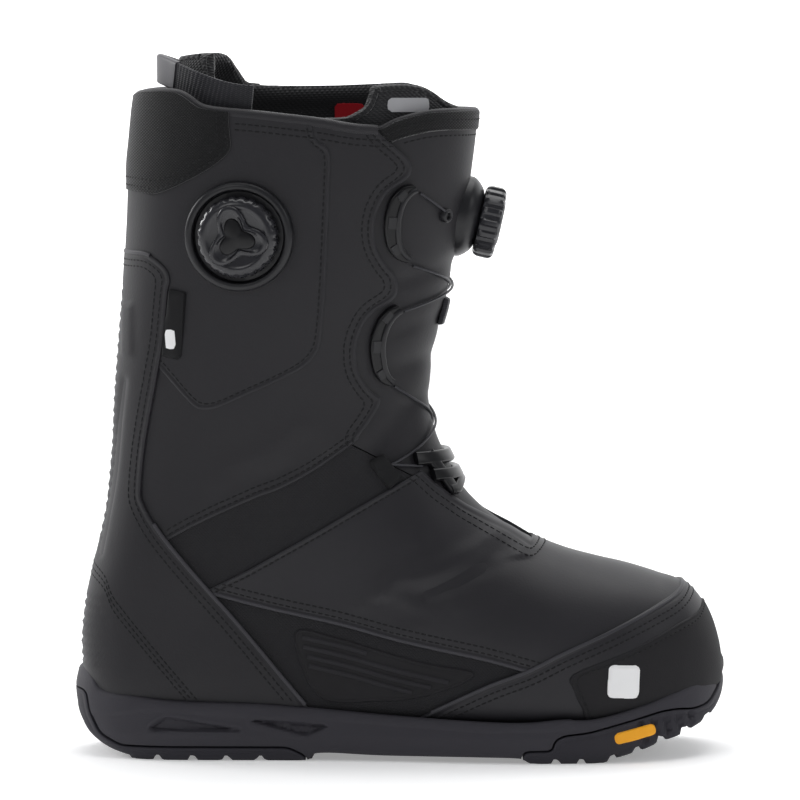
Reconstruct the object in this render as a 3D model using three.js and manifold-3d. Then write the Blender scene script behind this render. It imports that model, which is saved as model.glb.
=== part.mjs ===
// A right snowboard boot: shell, tongue, inner boot, cupped sole, two wire-lace dials and their guides.
// Millimetres. +X points to the toe, -Y is the outer side of the foot, +Z is up, the floor is z = 0.
import * as THREE from 'three';
import { mergeVertices } from 'three/addons/utils/BufferGeometryUtils.js';
import Module from 'manifold-3d';

const wasm = await Module();
wasm.setup();

// Driving sizes.
const bootLength = 306; // sole, back of the heel to the toe
const bootHeight = 331; // floor to the highest point of the inner boot
const ballWidth = 108; // shell across the ball of the foot
const soleBallWidth = 115; // sole across the ball of the foot
const shellWall = 2.6;
const linerWall = 8;
const linerSole = 5;
const linerLift = 1.4; // between the sole's floor and the inner boot
const insoleThickness = 4;
const overlayThickness = 1.5; // toe cap and heel counter, over the gap below them
const gap = 0.3; // between pieces that meet
const tongueDrop = 0.5; // the tongue lies this much below the shell's skin
const lugDepth = 3.2;
const lugGroove = 4;
const sideSlotDepth = 2.6;
const wireDiameter = 1.2;
const wireSides = 6;
const wireLift = 1.3; // lace centre above the shell's skin
const guideHeight = 3.2;
const sideDial = {
  x: -74.5, z: 244.6, knob: 19, clearance: 2.6, ringWall: 3.8, floor: 1.6, rim: 5.5, height: 14.5,
};
const frontDial = { z: 252, knob: 16.8, flange: 2.2, baseTop: 6, height: 17.5, droop: 13 };
const knobLobes = 9;
const loopStrap = { width: 10.5, thickness: 1.8 };
const tagThickness = 1;
const sideLoopThickness = 2;
const tongueTab = { width: 22, thickness: 1.8 };
const throatGuide = { width: 26, height: 4.2 };
const soleLip = 3.4; // the shell turns in under the foot by this much above the sole's floor
const toeLugTilt = 0.33; // radians, of the lugs ahead of the ball

// The pattern was drawn on a boot of these sizes, and every place on it is graded to the driving sizes.
const pattern = { length: 306, height: 331, ballWidth: 108, soleBallWidth: 115 };
const gradeX = (x) => (x * bootLength) / pattern.length;
const gradeZ = (z) => (z * bootHeight) / pattern.height;
const gradeY = (y) => (y * ballWidth) / pattern.ballWidth;
const gradeSoleY = (y) => (y * soleBallWidth) / pattern.soleBallWidth;
const grade = ([x, z]) => [gradeX(x), gradeZ(z)];

const skinPoints = 12; // facets along half a section of the shell's outside
const liningPoints = 12;
const insidePoints = 7;
const wireSteps = 8;
const far = 120; // beyond the boot on either side

// Sections of the boot's form. Each is a flat loop from the instep or shin to the sole or back:
// instep x, z, sole x, z, half width, sideways shift, widest place (0 instep, 1 sole),
// fullness of the instep side and of the sole side (2 is an ellipse, more is squarer).
const sections = [
  [149.9, 44.0, 150.3, 36.0, 8.0, 9.0, 0.50, 2.0, 2.0],
  [148.6, 51.0, 149.3, 30.0, 15.5, 8.5, 0.52, 2.1, 2.2],
  [145.6, 61.0, 146.5, 25.0, 23.5, 8.0, 0.55, 2.1, 2.5],
  [140.6, 70.5, 141.0, 21.5, 32.0, 7.0, 0.58, 2.2, 3.0],
  [133.0, 78.2, 133.0, 19.0, 39.5, 6.0, 0.60, 2.3, 3.4],
  [122.0, 82.2, 122.0, 16.5, 45.5, 4.5, 0.62, 2.3, 3.6],
  [108.0, 86.6, 108.0, 14.0, 50.0, 3.0, 0.63, 2.3, 3.8],
  [93.0, 90.3, 92.0, 12.5, 52.8, 1.6, 0.63, 2.25, 4.0],
  [78.0, 94.5, 74.0, 12.0, 54.0, 0.6, 0.62, 2.2, 4.0],
  [63.0, 100.5, 54.0, 12.0, 53.0, -0.4, 0.61, 2.15, 4.0],
  [49.0, 108.2, 33.0, 12.3, 50.5, -1.4, 0.60, 2.1, 4.2],
  [37.5, 117.0, 11.0, 12.8, 47.5, -2.0, 0.58, 2.1, 4.6],
  [29.0, 126.5, -12.0, 13.8, 45.0, -2.2, 0.56, 2.1, 5.0],
  [23.0, 137.5, -38.0, 15.0, 43.2, -2.0, 0.54, 2.15, 5.6],
  [17.8, 148.5, -66.0, 16.5, 42.3, -1.4, 0.52, 2.2, 6.2],
  [15.0, 158.5, -92.0, 17.8, 42.0, -0.8, 0.50, 2.25, 6.6],
  [14.3, 167.0, -118.0, 19.0, 41.8, -0.4, 0.50, 2.3, 6.2],
  [14.6, 174.0, -137.0, 22.0, 42.0, 0.0, 0.50, 2.35, 4.4],
  [15.2, 181.0, -145.3, 32.0, 42.5, 0.0, 0.50, 2.4, 3.3],
  [16.3, 190.0, -148.0, 48.0, 43.0, 0.0, 0.50, 2.4, 2.8],
  [18.5, 200.0, -146.5, 70.0, 43.5, 0.0, 0.50, 2.4, 2.6],
  [21.3, 210.0, -142.0, 92.0, 44.2, 0.0, 0.50, 2.4, 2.5],
  [23.5, 220.5, -137.0, 116.0, 45.2, 0.0, 0.50, 2.4, 2.45],
  [26.0, 231.0, -134.0, 142.0, 46.5, 0.0, 0.50, 2.4, 2.4],
  [28.6, 242.0, -132.5, 168.0, 48.0, 0.0, 0.50, 2.4, 2.4],
  [31.0, 254.0, -130.5, 194.0, 49.5, 0.0, 0.50, 2.4, 2.4],
  [33.0, 266.0, -128.5, 220.0, 51.0, 0.0, 0.50, 2.4, 2.4],
  [34.8, 279.0, -127.0, 248.0, 52.5, 0.0, 0.50, 2.4, 2.4],
];
// Above them the shell goes straight on, and the inner boot draws in.
const shellTop = [
  [36.3, 292.0, -126.0, 276.0, 53.5, 0.0, 0.50, 2.4, 2.4],
  [37.3, 306.0, -124.0, 303.0, 54.0, 0.0, 0.50, 2.4, 2.4],
  [37.8, 322.0, -119.0, 332.0, 54.0, 0.0, 0.50, 2.4, 2.4],
];
const linerTop = [
  [34.5, 292.0, -123.5, 276.0, 52.0, 0.0, 0.50, 2.4, 2.4],
  [32.0, 306.0, -118.0, 301.0, 50.0, 0.0, 0.50, 2.4, 2.4],
  [27.0, 324.0, -108.0, 322.0, 46.0, 0.0, 0.50, 2.4, 2.4],
  [20.0, 342.0, -99.0, 343.0, 42.0, 0.0, 0.50, 2.4, 2.4],
];

// Outlines in side view, [x, z].
const quarterEdge = [
  [-10.6, 350], [-10.6, 293.3], [-1.6, 285], [4.2, 279], [3.8, 272], [-6.5, 264], [-11.6, 253],
  [-11.6, 241], [-6.5, 231], [-2.2, 225.6], [-2.6, 216], [-14, 208], [-20, 196], [-20, 183],
  [-14.5, 173], [-9.4, 168], [-14, 158.5], [-20.2, 150.2], [-10, 142], [9.8, 134.3],
];
const vampThroat = [[18, 126.6], [30.6, 117.6], [47.1, 108], [61, 100]];
const throat = [...quarterEdge, ...vampThroat, [75, 112], [75, 350]];
const shellCollar = [
  [-140, 296], [-126.8, 301.5], [-124.4, 307], [-119.8, 310.6], [-104.2, 311.6], [-97, 308],
  [-89.8, 303.6], [-65.8, 301.4], [-37.7, 298.6], [-10.6, 294.6], [60, 294.6],
];
const tongueCollar = [[-30, 292], [-10.6, 294.2], [-1.6, 298.4], [10.4, 301.6], [22.4, 302.8], [60, 302.8]];
const linerCollar = [
  [-140, 322], [-112, 328.5], [-97, 331], [-86, 330], [-79, 322], [-71, 315.5], [-38, 314.5],
  [-8, 315.5], [6, 316], [16, 313], [60, 300],
];
const linerDip = [
  [-93, 360], [-89, 316], [-82, 301.5], [-60, 300], [-30, 299], [-20, 301], [-14, 311], [-10, 360],
];
const heelPanelEdge = [
  [-160, 236.6], [-117.4, 236.2], [-108.4, 230.2], [-105.7, 224.2], [-106.9, 218.2], [-109, 196.6],
  [-111.4, 182.8], [-115.6, 160.1], [-118, 145.4], [-119.8, 126.2], [-118.6, 119], [-110.2, 105.1],
  [-89.8, 81.1], [-75.3, 64.8], [-57.3, 43.2], [-41.7, 24],
];
const toeCapEdge = [
  [9.4, 18], [39.5, 36], [58.7, 43.5], [75.3, 51.8], [96.9, 61], [118.6, 70.8], [129.4, 76.2], [137, 84],
];
const tagOutline = [[-104.4, 217], [-98.8, 215.8], [-101.8, 184.6], [-108.2, 186]];
const upperGuideOutline = [
  [7.4, 269.1], [1, 267], [-4.6, 259.6], [-7.3, 250], [-7, 241.5], [-3, 234.6], [3.8, 231.7],
  [3.1, 237.1], [0.6, 242], [0.2, 248], [1.6, 255], [4.6, 260],
];
const lowerGuideOutline = [
  [-0.5, 212.8], [-7, 210.6], [-12, 203.4], [-14.3, 194.2], [-13.2, 183.5], [-9.6, 176.4], [-5.2, 173.7],
  [-4, 179.8], [-6.8, 185], [-7.6, 191.1], [-5.6, 199.6], [-0.5, 206.2],
];
const sideLoopOutline = [[-14, 139.5], [-7, 140.5], [-0.5, 131], [-5, 126.5]];
const tongueTabOutline = [[4, 215], [4, 202], [40, 200], [40, 214]];
const throatGuideOutline = [[9.5, 141], [17, 146], [40, 131], [32, 118.4]];

// The sole in side view and in plan.
const soleBottom = [
  [-156, 30], [-152.3, 23.4], [-150.5, 17.4], [-145.7, 10.8], [-136.1, 4.8], [-124.1, 1.2], [-119.3, 0],
  [-47, 0], [-42, 2.6], [-33.3, 3.6], [-8, 2.6], [33, 2.6], [56, 2.2], [63, 0],
  [92, 0], [102.4, 2.8], [113.2, 5.8], [121.3, 9], [129.4, 11.2], [137.5, 14.7], [144.5, 17.9],
  [150, 22.8], [156, 31],
];
const soleTop = [
  [156, 41.5], [149.4, 39.6], [140.2, 36.3], [129.4, 32], [113.2, 26.1], [91.5, 20.9], [75.5, 20.4],
  [51.5, 18.8], [2.7, 21], [-41.7, 24.6], [-65.9, 26.4], [-103, 27.4], [-124.1, 29.6], [-140, 31.6],
  [-145, 37.5], [-149, 40.4], [-156, 40.4],
];
const solePlan = [
  [153.2, 9], [150.6, -9], [144.8, -24], [135, -36.5], [120, -46.5], [101, -53.5], [80, -57], [56, -57.5],
  [28, -54.6], [0, -50], [-30, -46.8], [-60, -45.2], [-90, -44.6], [-112, -43.2], [-130, -37.5],
  [-143.5, -26.5], [-150.6, -13.5], [-152.9, 0], [-150.6, 13.5], [-143.5, 26], [-130, 36.5], [-112, 42],
  [-90, 42.4], [-60, 41.4], [-30, 41.6], [0, 44.6], [28, 50], [56, 55], [80, 57.6], [101, 57.4],
  [120, 53.8], [135, 46.8], [144.8, 37], [150.6, 25],
];
const soleLevels = [[-8, 5], [4, 1.8], [12, 0.2], [22, 0], [32, 0.6], [48, 2.4]]; // height, drawn in by
const heelPod = [
  [-160, 29], [-146.2, 29], [-145, 20.4], [-140.3, 11.4], [-131, 6.6], [-52, 6.6], [-43, 2], [-43, -9],
  [-160, -9],
];
const toePod = [
  [57, -9], [57, 6.4], [71.5, 6.8], [72, 11.6], [76, 13.6], [87.5, 14.6], [107.8, 19.6], [121.3, 23.4],
  [129.4, 24.6], [137.5, 24], [144.5, 25.4], [149, 31.4], [160, 33], [160, -9],
];
const sideSlots = [
  [[-118, 14.4], [-109.6, 20.4], [-73, 14.4]],
  [[-69.9, 19.2], [-33.3, 16.8], [-43.5, 12]],
];
const heelGrooves = [-113, -97, -81, -65];
const flatToeGrooves = [[72, 0], [84, 0]];
const risingToeGrooves = [[98.5, 1.6], [110, 5], [121.5, 9], [133, 12.8], [143.5, 17.4]];
const heelChannel = { x: -82, length: 62 };
const toeChannel = { x: 78, length: 44 };

function solid(geometry) {
  const bare = geometry.clone();
  for (const name of Object.keys(bare.attributes)) {
    if (name !== 'position') bare.deleteAttribute(name);
  }
  const merged = mergeVertices(bare, 1e-4);
  return new wasm.Manifold(new wasm.Mesh({
    numProp: 3,
    vertProperties: new Float32Array(merged.attributes.position.array),
    triVerts: new Uint32Array(merged.index.array),
  }));
}

function geometryOf(body) {
  const mesh = body.getMesh();
  const geometry = new THREE.BufferGeometry();
  geometry.setAttribute('position', new THREE.BufferAttribute(new Float32Array(mesh.vertProperties), 3));
  geometry.setIndex(new THREE.BufferAttribute(new Uint32Array(mesh.triVerts), 1));
  return geometry;
}

// A closed body through loops that all have the same number of points, with a fan at each end.
function loft(loops) {
  const count = loops[0].length;
  const points = loops.flat();
  const faces = [];
  for (let i = 0; i + 1 < loops.length; i += 1) {
    for (let j = 0; j < count; j += 1) {
      const k = (j + 1) % count;
      const [a, b, c, d] = [i * count + j, i * count + k, (i + 1) * count + k, (i + 1) * count + j];
      faces.push(a, b, c, a, c, d);
    }
  }
  for (const [start, turned] of [[0, true], [(loops.length - 1) * count, false]]) {
    const middle = points.length;
    const centre = new THREE.Vector3();
    for (let j = 0; j < count; j += 1) centre.addScaledVector(points[start + j], 1 / count);
    points.push(centre);
    for (let j = 0; j < count; j += 1) {
      const k = (j + 1) % count;
      if (turned) faces.push(middle, start + k, start + j);
      else faces.push(middle, start + j, start + k);
    }
  }
  const geometry = new THREE.BufferGeometry().setFromPoints(points);
  geometry.setIndex(faces);
  const body = solid(geometry);
  if (body.volume() > 0) return body;
  for (let i = 0; i < faces.length; i += 3) [faces[i + 1], faces[i + 2]] = [faces[i + 2], faces[i + 1]];
  geometry.setIndex(faces);
  return solid(geometry);
}

// A side-view outline carried across the boot, from one y to the other.
function prism(outline, fromY = -far, toY = far) {
  const shape = new THREE.Shape(outline.map(([x, z]) => new THREE.Vector2(x, z)));
  const geometry = new THREE.ExtrudeGeometry(shape, { depth: toY - fromY, bevelEnabled: false });
  geometry.rotateX(Math.PI / 2);
  geometry.translate(0, toY, 0);
  return solid(geometry);
}

// A closed outline moved outwards by a distance, or inwards by a negative one.
function grow(outline, distance) {
  let area = 0;
  outline.forEach(([x, z], i) => {
    const [nextX, nextZ] = outline[(i + 1) % outline.length];
    area += x * nextZ - nextX * z;
  });
  const turn = Math.sign(area);
  return outline.map(([x, z], i) => {
    const before = outline[(i + outline.length - 1) % outline.length];
    const after = outline[(i + 1) % outline.length];
    const a = new THREE.Vector2(x - before[0], z - before[1]).normalize();
    const b = new THREE.Vector2(after[0] - x, after[1] - z).normalize();
    const normal = new THREE.Vector2((a.y + b.y) * turn, -(a.x + b.x) * turn).normalize();
    const reach = distance / Math.max(0.5, normal.x * a.y * turn - normal.y * a.x * turn);
    return [x + normal.x * reach, z + normal.y * reach];
  });
}

// Outward normal, in side view, of the line through two neighbours of a point.
function outward(before, after, away) {
  const normal = new THREE.Vector2(after.y - before.y, before.x - after.x).normalize();
  return normal.dot(away) < 0 ? normal.negate() : normal;
}

// Half of one section, from its instep point round its side to its sole point, in even steps.
function halfSection(front, back, half, widest, frontFull, backFull, count) {
  const fine = [];
  const steps = 60;
  for (let i = 0; i <= steps; i += 1) {
    const turn = (i / steps) * Math.PI;
    const inFront = turn < Math.PI / 2;
    const full = inFront ? frontFull : backFull;
    const along = Math.abs(Math.cos(turn)) ** (2 / full);
    const share = inFront ? widest * (1 - along) : widest + (1 - widest) * along;
    const side = half * Math.sin(turn) ** (2 / full);
    fine.push(new THREE.Vector3().lerpVectors(front, back, share).setY(i % steps === 0 ? 0 : side));
  }
  const lengths = [0];
  for (let i = 1; i <= steps; i += 1) lengths.push(lengths[i - 1] + fine[i].distanceTo(fine[i - 1]));
  const points = [];
  for (let j = 0; j <= count; j += 1) {
    const target = (j / count) * lengths[steps];
    let i = 1;
    while (i < steps && lengths[i] < target) i += 1;
    const part = (target - lengths[i - 1]) / (lengths[i] - lengths[i - 1]);
    points.push(new THREE.Vector3().lerpVectors(fine[i - 1], fine[i], part));
  }
  return points;
}

// The form's loops, moved out from the shell's skin by an offset, and down at the sole by its own one.
function formLoops(rows, offset, soleOffset, count) {
  const fronts = rows.map((row) => new THREE.Vector2(...grade([row[0], row[1]])));
  const backs = rows.map((row) => new THREE.Vector2(...grade([row[2], row[3]])));
  const loops = [];
  rows.forEach((row, i) => {
    const last = rows.length - 1;
    const away = fronts[i].clone().sub(backs[i]);
    const beside = Math.max(i - 1, 0);
    const beyond = Math.min(i + 1, last);
    const frontNormal = outward(i ? fronts[beside] : backs[0], fronts[beyond], away);
    const backNormal = outward(i ? backs[beside] : fronts[0], backs[beyond], away.clone().negate());
    const half = gradeY(row[4]);
    const run = fronts[beside].clone().add(backs[beside]).sub(fronts[beyond]).sub(backs[beyond]).length() / 2;
    const slope = (gradeY(rows[beyond][4]) - gradeY(rows[beside][4])) / run;
    const newHalf = half + offset * Math.min(1.6, Math.hypot(1, slope));
    if (newHalf < 3) return;
    const front = fronts[i].clone().addScaledVector(frontNormal, offset);
    const back = backs[i].clone().add(new THREE.Vector2(backNormal.x * offset, backNormal.y * soleOffset));
    const shift = gradeY(row[5]);
    const side = halfSection(
      new THREE.Vector3(front.x, 0, front.y), new THREE.Vector3(back.x, 0, back.y),
      newHalf, row[6], row[7], row[8], count,
    );
    const outer = side.map(({ x, y, z }) => new THREE.Vector3(x, shift - y, z));
    const inner = side.slice(1, -1).reverse().map(({ x, y, z }) => new THREE.Vector3(x, shift + y, z));
    loops.push([...outer, ...inner]);
  });
  return loops;
}

const shellRows = [...sections, ...shellTop];
const linerRows = [...sections, ...linerTop];
// Inside the shell fewer sections are enough, away from the toe and the back of the heel.
const sparse = (rows) => rows.filter((row, i) => i < 7 || i % 2 === 0 || (i > 16 && i < 20) || i > 27);
const shellForm = (offset, soleOffset = offset) => loft(formLoops(shellRows, offset, soleOffset, skinPoints));
const shellCavity = () => loft(formLoops(sparse(shellRows), -shellWall, 0, liningPoints));
function linerForm(offset, soleOffset, count) {
  return loft(formLoops(sparse(linerRows), offset, soleOffset, count));
}

const graded = (outline) => outline.map(grade);
const above = (line) => prism(graded([...line, [60, 400], [-140, 400]]));

// A point on the shell's skin at a height, a share of the way round from the shin to the back.
const skinLoops = new Map();
function skinPoint(height, share, side, lift) {
  if (!skinLoops.has(lift)) skinLoops.set(lift, formLoops(shellRows, lift, lift, skinPoints));
  const loops = skinLoops.get(lift);
  const at = Math.min(share * skinPoints, skinPoints - 1e-6);
  const first = Math.floor(at);
  const onLoop = (loop) => new THREE.Vector3().lerpVectors(loop[first], loop[first + 1], at - first);
  for (let i = loops.length - 1; i > 0; i -= 1) {
    const high = onLoop(loops[i]);
    const low = onLoop(loops[i - 1]);
    if (low.z <= height && height <= high.z) {
      const point = low.lerp(high, (height - low.z) / (high.z - low.z));
      const middle = loops[i][0].y;
      return new THREE.Vector3(point.x, side < 0 ? point.y : 2 * middle - point.y, point.z);
    }
  }
  return onLoop(loops[0]);
}

// How far round from the shin a test is first met at a height, found by halving.
function shareWhere(reached, height) {
  const farthest = 0.6;
  const halvings = 30;
  let [low, high] = [0, farthest];
  for (let i = 0; i < halvings; i += 1) {
    const middle = (low + high) / 2;
    if (reached(skinPoint(height, middle, -1, 0))) high = middle;
    else low = middle;
  }
  return low;
}

const shareAt = (x, height) => shareWhere((point) => point.x <= x, height);
const shareBeside = (distance, height) => shareWhere((point) => -point.y >= distance, height);

function throatCutter(clearance) {
  return prism(grow(graded(throat), clearance));
}

function makeUpper() {
  const lip = sections.slice(0, 19).map(([, , x, z]) => [x, z + soleLip]);
  const under = prism(graded([[165, 40], ...lip, [-165, 36], [-165, -30], [165, -30]]));
  const shell = shellForm(0).subtract(shellCavity()).subtract(under);
  return shell.subtract(throatCutter(0)).subtract(above(shellCollar));
}

function makeTongue() {
  const body = shellForm(-tongueDrop, 0).subtract(shellCavity());
  return body.intersect(throatCutter(-gap)).subtract(above(tongueCollar));
}

function makeLiner() {
  const outside = linerForm(-shellWall - gap, -linerLift, liningPoints);
  const inside = linerForm(-shellWall - gap - linerWall, -linerLift - linerSole, insidePoints);
  const dip = prism(graded(linerDip), -far, 0);
  return outside.subtract(inside).subtract(above(linerCollar)).subtract(dip);
}

function makeInsole() {
  const lift = linerLift + linerSole + gap;
  const bed = linerForm(-shellWall - gap - linerWall - gap, -lift, insidePoints);
  const floor = sections.slice(1, 18).map(([, , x, z]) => grade([x, z]));
  const top = floor.map(([x, z]) => [x, z + lift + insoleThickness]);
  const ends = [gradeX(165), gradeX(-165)];
  const sides = [[ends[1], top[top.length - 1][1]], [ends[1], -30], [ends[0], -30], [ends[0], top[0][1]]];
  return bed.intersect(prism([...top, ...sides]));
}

function planLoop(drawnIn, height) {
  const plan = grow(solePlan.map(([x, y]) => [gradeX(x), gradeSoleY(y)]), -drawnIn);
  return plan.map(([x, y]) => new THREE.Vector3(x, y, height));
}

const soleBody = (drawnIn) => loft(soleLevels.map(([z, inset]) => planLoop(inset + drawnIn, gradeZ(z))));

function makeSole() {
  const profile = prism(graded([...soleBottom, ...soleTop]));
  return soleBody(0).intersect(profile).subtract(shellForm(gap, 0));
}

// A groove across the sole, and a channel along it.
function groove([x, z], tilt = 0) {
  const cut = new THREE.BoxGeometry(lugGroove, 2 * soleBallWidth, 2 * lugDepth);
  cut.rotateY(-tilt);
  cut.translate(gradeX(x), 0, gradeZ(z));
  return solid(cut);
}

function channel({ x, length }) {
  return solid(new THREE.BoxGeometry(gradeX(length), lugGroove, 2 * lugDepth).translate(gradeX(x), 0, 0));
}

function makeHeelPod(sole) {
  let pod = sole.intersect(prism(grow(graded(heelPod), -gap)));
  for (const x of heelGrooves) pod = pod.subtract(groove([x, 0]));
  return pod.subtract(channel(heelChannel));
}

function makeToePod(sole) {
  let pod = sole.intersect(prism(grow(graded(toePod), -gap)));
  for (const place of flatToeGrooves) pod = pod.subtract(groove(place));
  for (const place of risingToeGrooves) pod = pod.subtract(groove(place, toeLugTilt));
  return pod.subtract(channel(toeChannel));
}

function makeMidsole(sole) {
  let midsole = sole.subtract(prism(graded(heelPod))).subtract(prism(graded(toePod)));
  const core = soleBody(sideSlotDepth);
  for (const slot of sideSlots) midsole = midsole.subtract(prism(graded(slot)).subtract(core));
  return midsole;
}

function shellOverlay(thickness, lowest) {
  return shellForm(gap + thickness).subtract(shellForm(gap)).subtract(prism(lowest));
}

// Below this line an overlay would run into the sole's rim.
function underRim() {
  return grow(graded([...soleTop, [-165, -30], [165, -30]]), gap);
}

function makeToeCap() {
  const region = prism(graded([...toeCapEdge, [165, 90], [165, 0], [0, 0]]));
  return shellOverlay(overlayThickness, underRim()).intersect(region);
}

function makeHeelCounter() {
  const region = prism(graded([...heelPanelEdge, [-41.7, 0], [-165, 0]]));
  return shellOverlay(overlayThickness, underRim()).intersect(region);
}

function skinPad(outline, lowest, highest, fromY, toY) {
  return shellForm(highest).subtract(shellForm(lowest)).intersect(prism(graded(outline), fromY, toY));
}

function makeSideTag() {
  return skinPad(tagOutline, gap, gap + tagThickness, -far, 0);
}

function lathe(profile, sides) {
  const geometry = new THREE.LatheGeometry(profile.map(([r, h]) => new THREE.Vector2(r, h)), sides);
  geometry.rotateX(Math.PI / 2);
  return geometry;
}

// Stands a body made along +Z on a place, with its axis along a direction.
function stand(body, place, axis) {
  const turn = new THREE.Quaternion().setFromUnitVectors(new THREE.Vector3(0, 0, 1), axis);
  return body.transform(new THREE.Matrix4().compose(place, turn, new THREE.Vector3(1, 1, 1)).elements);
}

const sideDialPlace = () => {
  const [x, z] = grade([sideDial.x, sideDial.z]);
  const span = sideDial.knob;
  const at = (px, pz) => skinPoint(pz, shareAt(px, pz), -1, 0);
  const along = at(x + span, z).sub(at(x - span, z));
  const up = at(x, z + span).sub(at(x, z - span));
  return { place: at(x, z), axis: along.cross(up).normalize() };
};

function makeSideDialBase() {
  const { place, axis } = sideDialPlace();
  const { knob, clearance, ringWall, floor, rim } = sideDial;
  const well = knob + clearance;
  const ring = well + ringWall;
  const edge = 1.5;
  const under = 12;
  const outside = [[0, -under], [ring, -under], [ring, rim - edge], [ring - edge, rim]];
  const outline = [...outside, [well, rim], [well, floor], [0, floor]];
  return stand(solid(lathe(outline, 32)), place, axis).subtract(shellForm(gap));
}

function makeKnob(radius, from, to) {
  const sides = 4 * knobLobes;
  const levels = [[from, 0.94], [from + 1.5, 1], [to - 2.2, 1], [to - 0.6, 0.93], [to, 0.8]];
  return loft(levels.map(([height, share]) => Array.from({ length: sides }, (_, i) => {
    const turn = (i / sides) * 2 * Math.PI;
    const reach = radius * share * (1 - 0.025 * (1 - Math.cos(turn * knobLobes)));
    return new THREE.Vector3(reach * Math.cos(turn), reach * Math.sin(turn), height);
  })));
}

function makeSideDialKnob() {
  const { place, axis } = sideDialPlace();
  return stand(makeKnob(sideDial.knob, sideDial.floor + gap, sideDial.height), place, axis);
}

const frontDialPlace = () => {
  const droop = THREE.MathUtils.degToRad(frontDial.droop);
  const place = skinPoint(gradeZ(frontDial.z), 0, -1, 0);
  return { place, axis: new THREE.Vector3(Math.cos(droop), 0, -Math.sin(droop)) };
};

function makeFrontDialBase() {
  const { place, axis } = frontDialPlace();
  const { knob, flange, baseTop } = frontDial;
  const base = knob + flange;
  const edge = 2.8;
  const under = 14;
  const outline = [[0, -under], [base, -under], [base, baseTop - edge], [base - edge, baseTop], [0, baseTop]];
  return stand(solid(lathe(outline, 32)), place, axis).subtract(shellForm(gap - tongueDrop));
}

function makeFrontDialKnob() {
  const { place, axis } = frontDialPlace();
  return stand(makeKnob(frontDial.knob, frontDial.baseTop + gap, frontDial.height), place, axis);
}

const oneSide = (side) => (side < 0 ? [-far, 0] : [0, far]);

function makeGuide(outline, side) {
  return skinPad(outline, gap - tongueDrop, guideHeight, ...oneSide(side));
}

function makeSideLoop(side) {
  return skinPad(sideLoopOutline, gap, gap + sideLoopThickness, ...oneSide(side));
}

// A pad across the middle of the tongue.
function middlePad(outline, height, width) {
  return skinPad(outline, gap - tongueDrop, height, -width / 2, width / 2);
}

// A wire on the skin between two ends, each with its height, its side, and its x in side view or its
// distance beside the middle.
function wire(from, to) {
  const points = [];
  const [fromShare, toShare] = [from, to].map(({ x, z, beside, side }) => {
    const height = gradeZ(z);
    return side * (beside ? shareBeside(beside, height) : shareAt(gradeX(x), height));
  });
  for (let i = 0; i <= wireSteps; i += 1) {
    const height = THREE.MathUtils.lerp(gradeZ(from.z), gradeZ(to.z), i / wireSteps);
    const round = THREE.MathUtils.lerp(fromShare, toShare, i / wireSteps);
    points.push(skinPoint(height, Math.abs(round), Math.sign(round) || 1, wireLift));
  }
  const curve = new THREE.CatmullRomCurve3(points);
  const section = new THREE.Shape(Array.from({ length: wireSides }, (_, i) => new THREE.Vector2(
    (wireDiameter / 2) * Math.cos((i / wireSides) * 2 * Math.PI),
    (wireDiameter / 2) * Math.sin((i / wireSides) * 2 * Math.PI),
  )));
  const options = { steps: wireSteps, extrudePath: curve, bevelEnabled: false };
  return solid(new THREE.ExtrudeGeometry(section, options));
}

const wireEnds = {
  dial: { beside: frontDial.knob + frontDial.flange, z: 262 },
  upperTop: { x: 10, z: 264.4 },
  upperBottom: { x: 6.2, z: 229.5 },
  lowerTop: { x: 2.6, z: 208.6 },
  lowerBottom: { x: -1.4, z: 172.6 },
  loop: { x: 1.6, z: 137.5 },
  throat: { x: 8.4, z: 136.6 },
};
const onSide = (name, side) => ({ ...wireEnds[name], side });
const crossing = (top, bottom) => (
  wire(onSide(top, -1), onSide(bottom, 1)).add(wire(onSide(top, 1), onSide(bottom, -1)))
);

function makeLowerLace() {
  let lace = crossing('lowerBottom', 'loop');
  for (const side of [-1, 1]) lace = lace.add(wire(onSide('loop', side), onSide('throat', side)));
  return lace;
}

// A strap bent into a U behind the inner boot, standing on edge.
function makePullLoop() {
  const leg = [
    [-68, -48, 307.6], [-78, -45, 308.8], [-88, -40, 311.5], [-97, -33.5, 315], [-105.5, -21, 318.8],
    [-112.5, 0, 321.5],
  ];
  const turned = leg.slice(0, -1).reverse().map(([x, y, z]) => [x, -y, z]);
  const curve = new THREE.CatmullRomCurve3([...leg, ...turned].map(
    ([x, y, z]) => new THREE.Vector3(gradeX(x), gradeY(y), gradeZ(z)),
  ));
  const steps = 22;
  const loops = [];
  for (let i = 0; i <= steps; i += 1) {
    const middle = curve.getPointAt(i / steps);
    const ahead = curve.getTangentAt(i / steps);
    const across = new THREE.Vector3(0, 0, 1).cross(ahead).normalize();
    const up = ahead.clone().cross(across).normalize();
    const corner = (a, b) => middle.clone()
      .addScaledVector(across, a * loopStrap.thickness / 2)
      .addScaledVector(up, b * loopStrap.width / 2);
    loops.push([corner(-1, -1), corner(1, -1), corner(1, 1), corner(-1, 1)]);
  }
  return loft(loops);
}

const finishes = {
  shell: { color: 0x37363a, roughness: 0.55 },
  fabric: { color: 0x222226, roughness: 0.9 },
  lining: { color: 0x2a2a2e, roughness: 0.95 },
  foam: { color: 0x38363d, roughness: 0.7 },
  rubber: { color: 0x323036, roughness: 0.75 },
  plastic: { color: 0x202024, roughness: 0.35 },
  wire: { color: 0x55555c, roughness: 0.3, metalness: 0.6 },
  webbing: { color: 0x2b2a2e, roughness: 0.9 },
};
const boot = new THREE.Group();

function addPiece(name, body, finish) {
  const mesh = new THREE.Mesh(geometryOf(body), new THREE.MeshStandardMaterial(finishes[finish]));
  mesh.name = name;
  boot.add(mesh);
}

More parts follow.
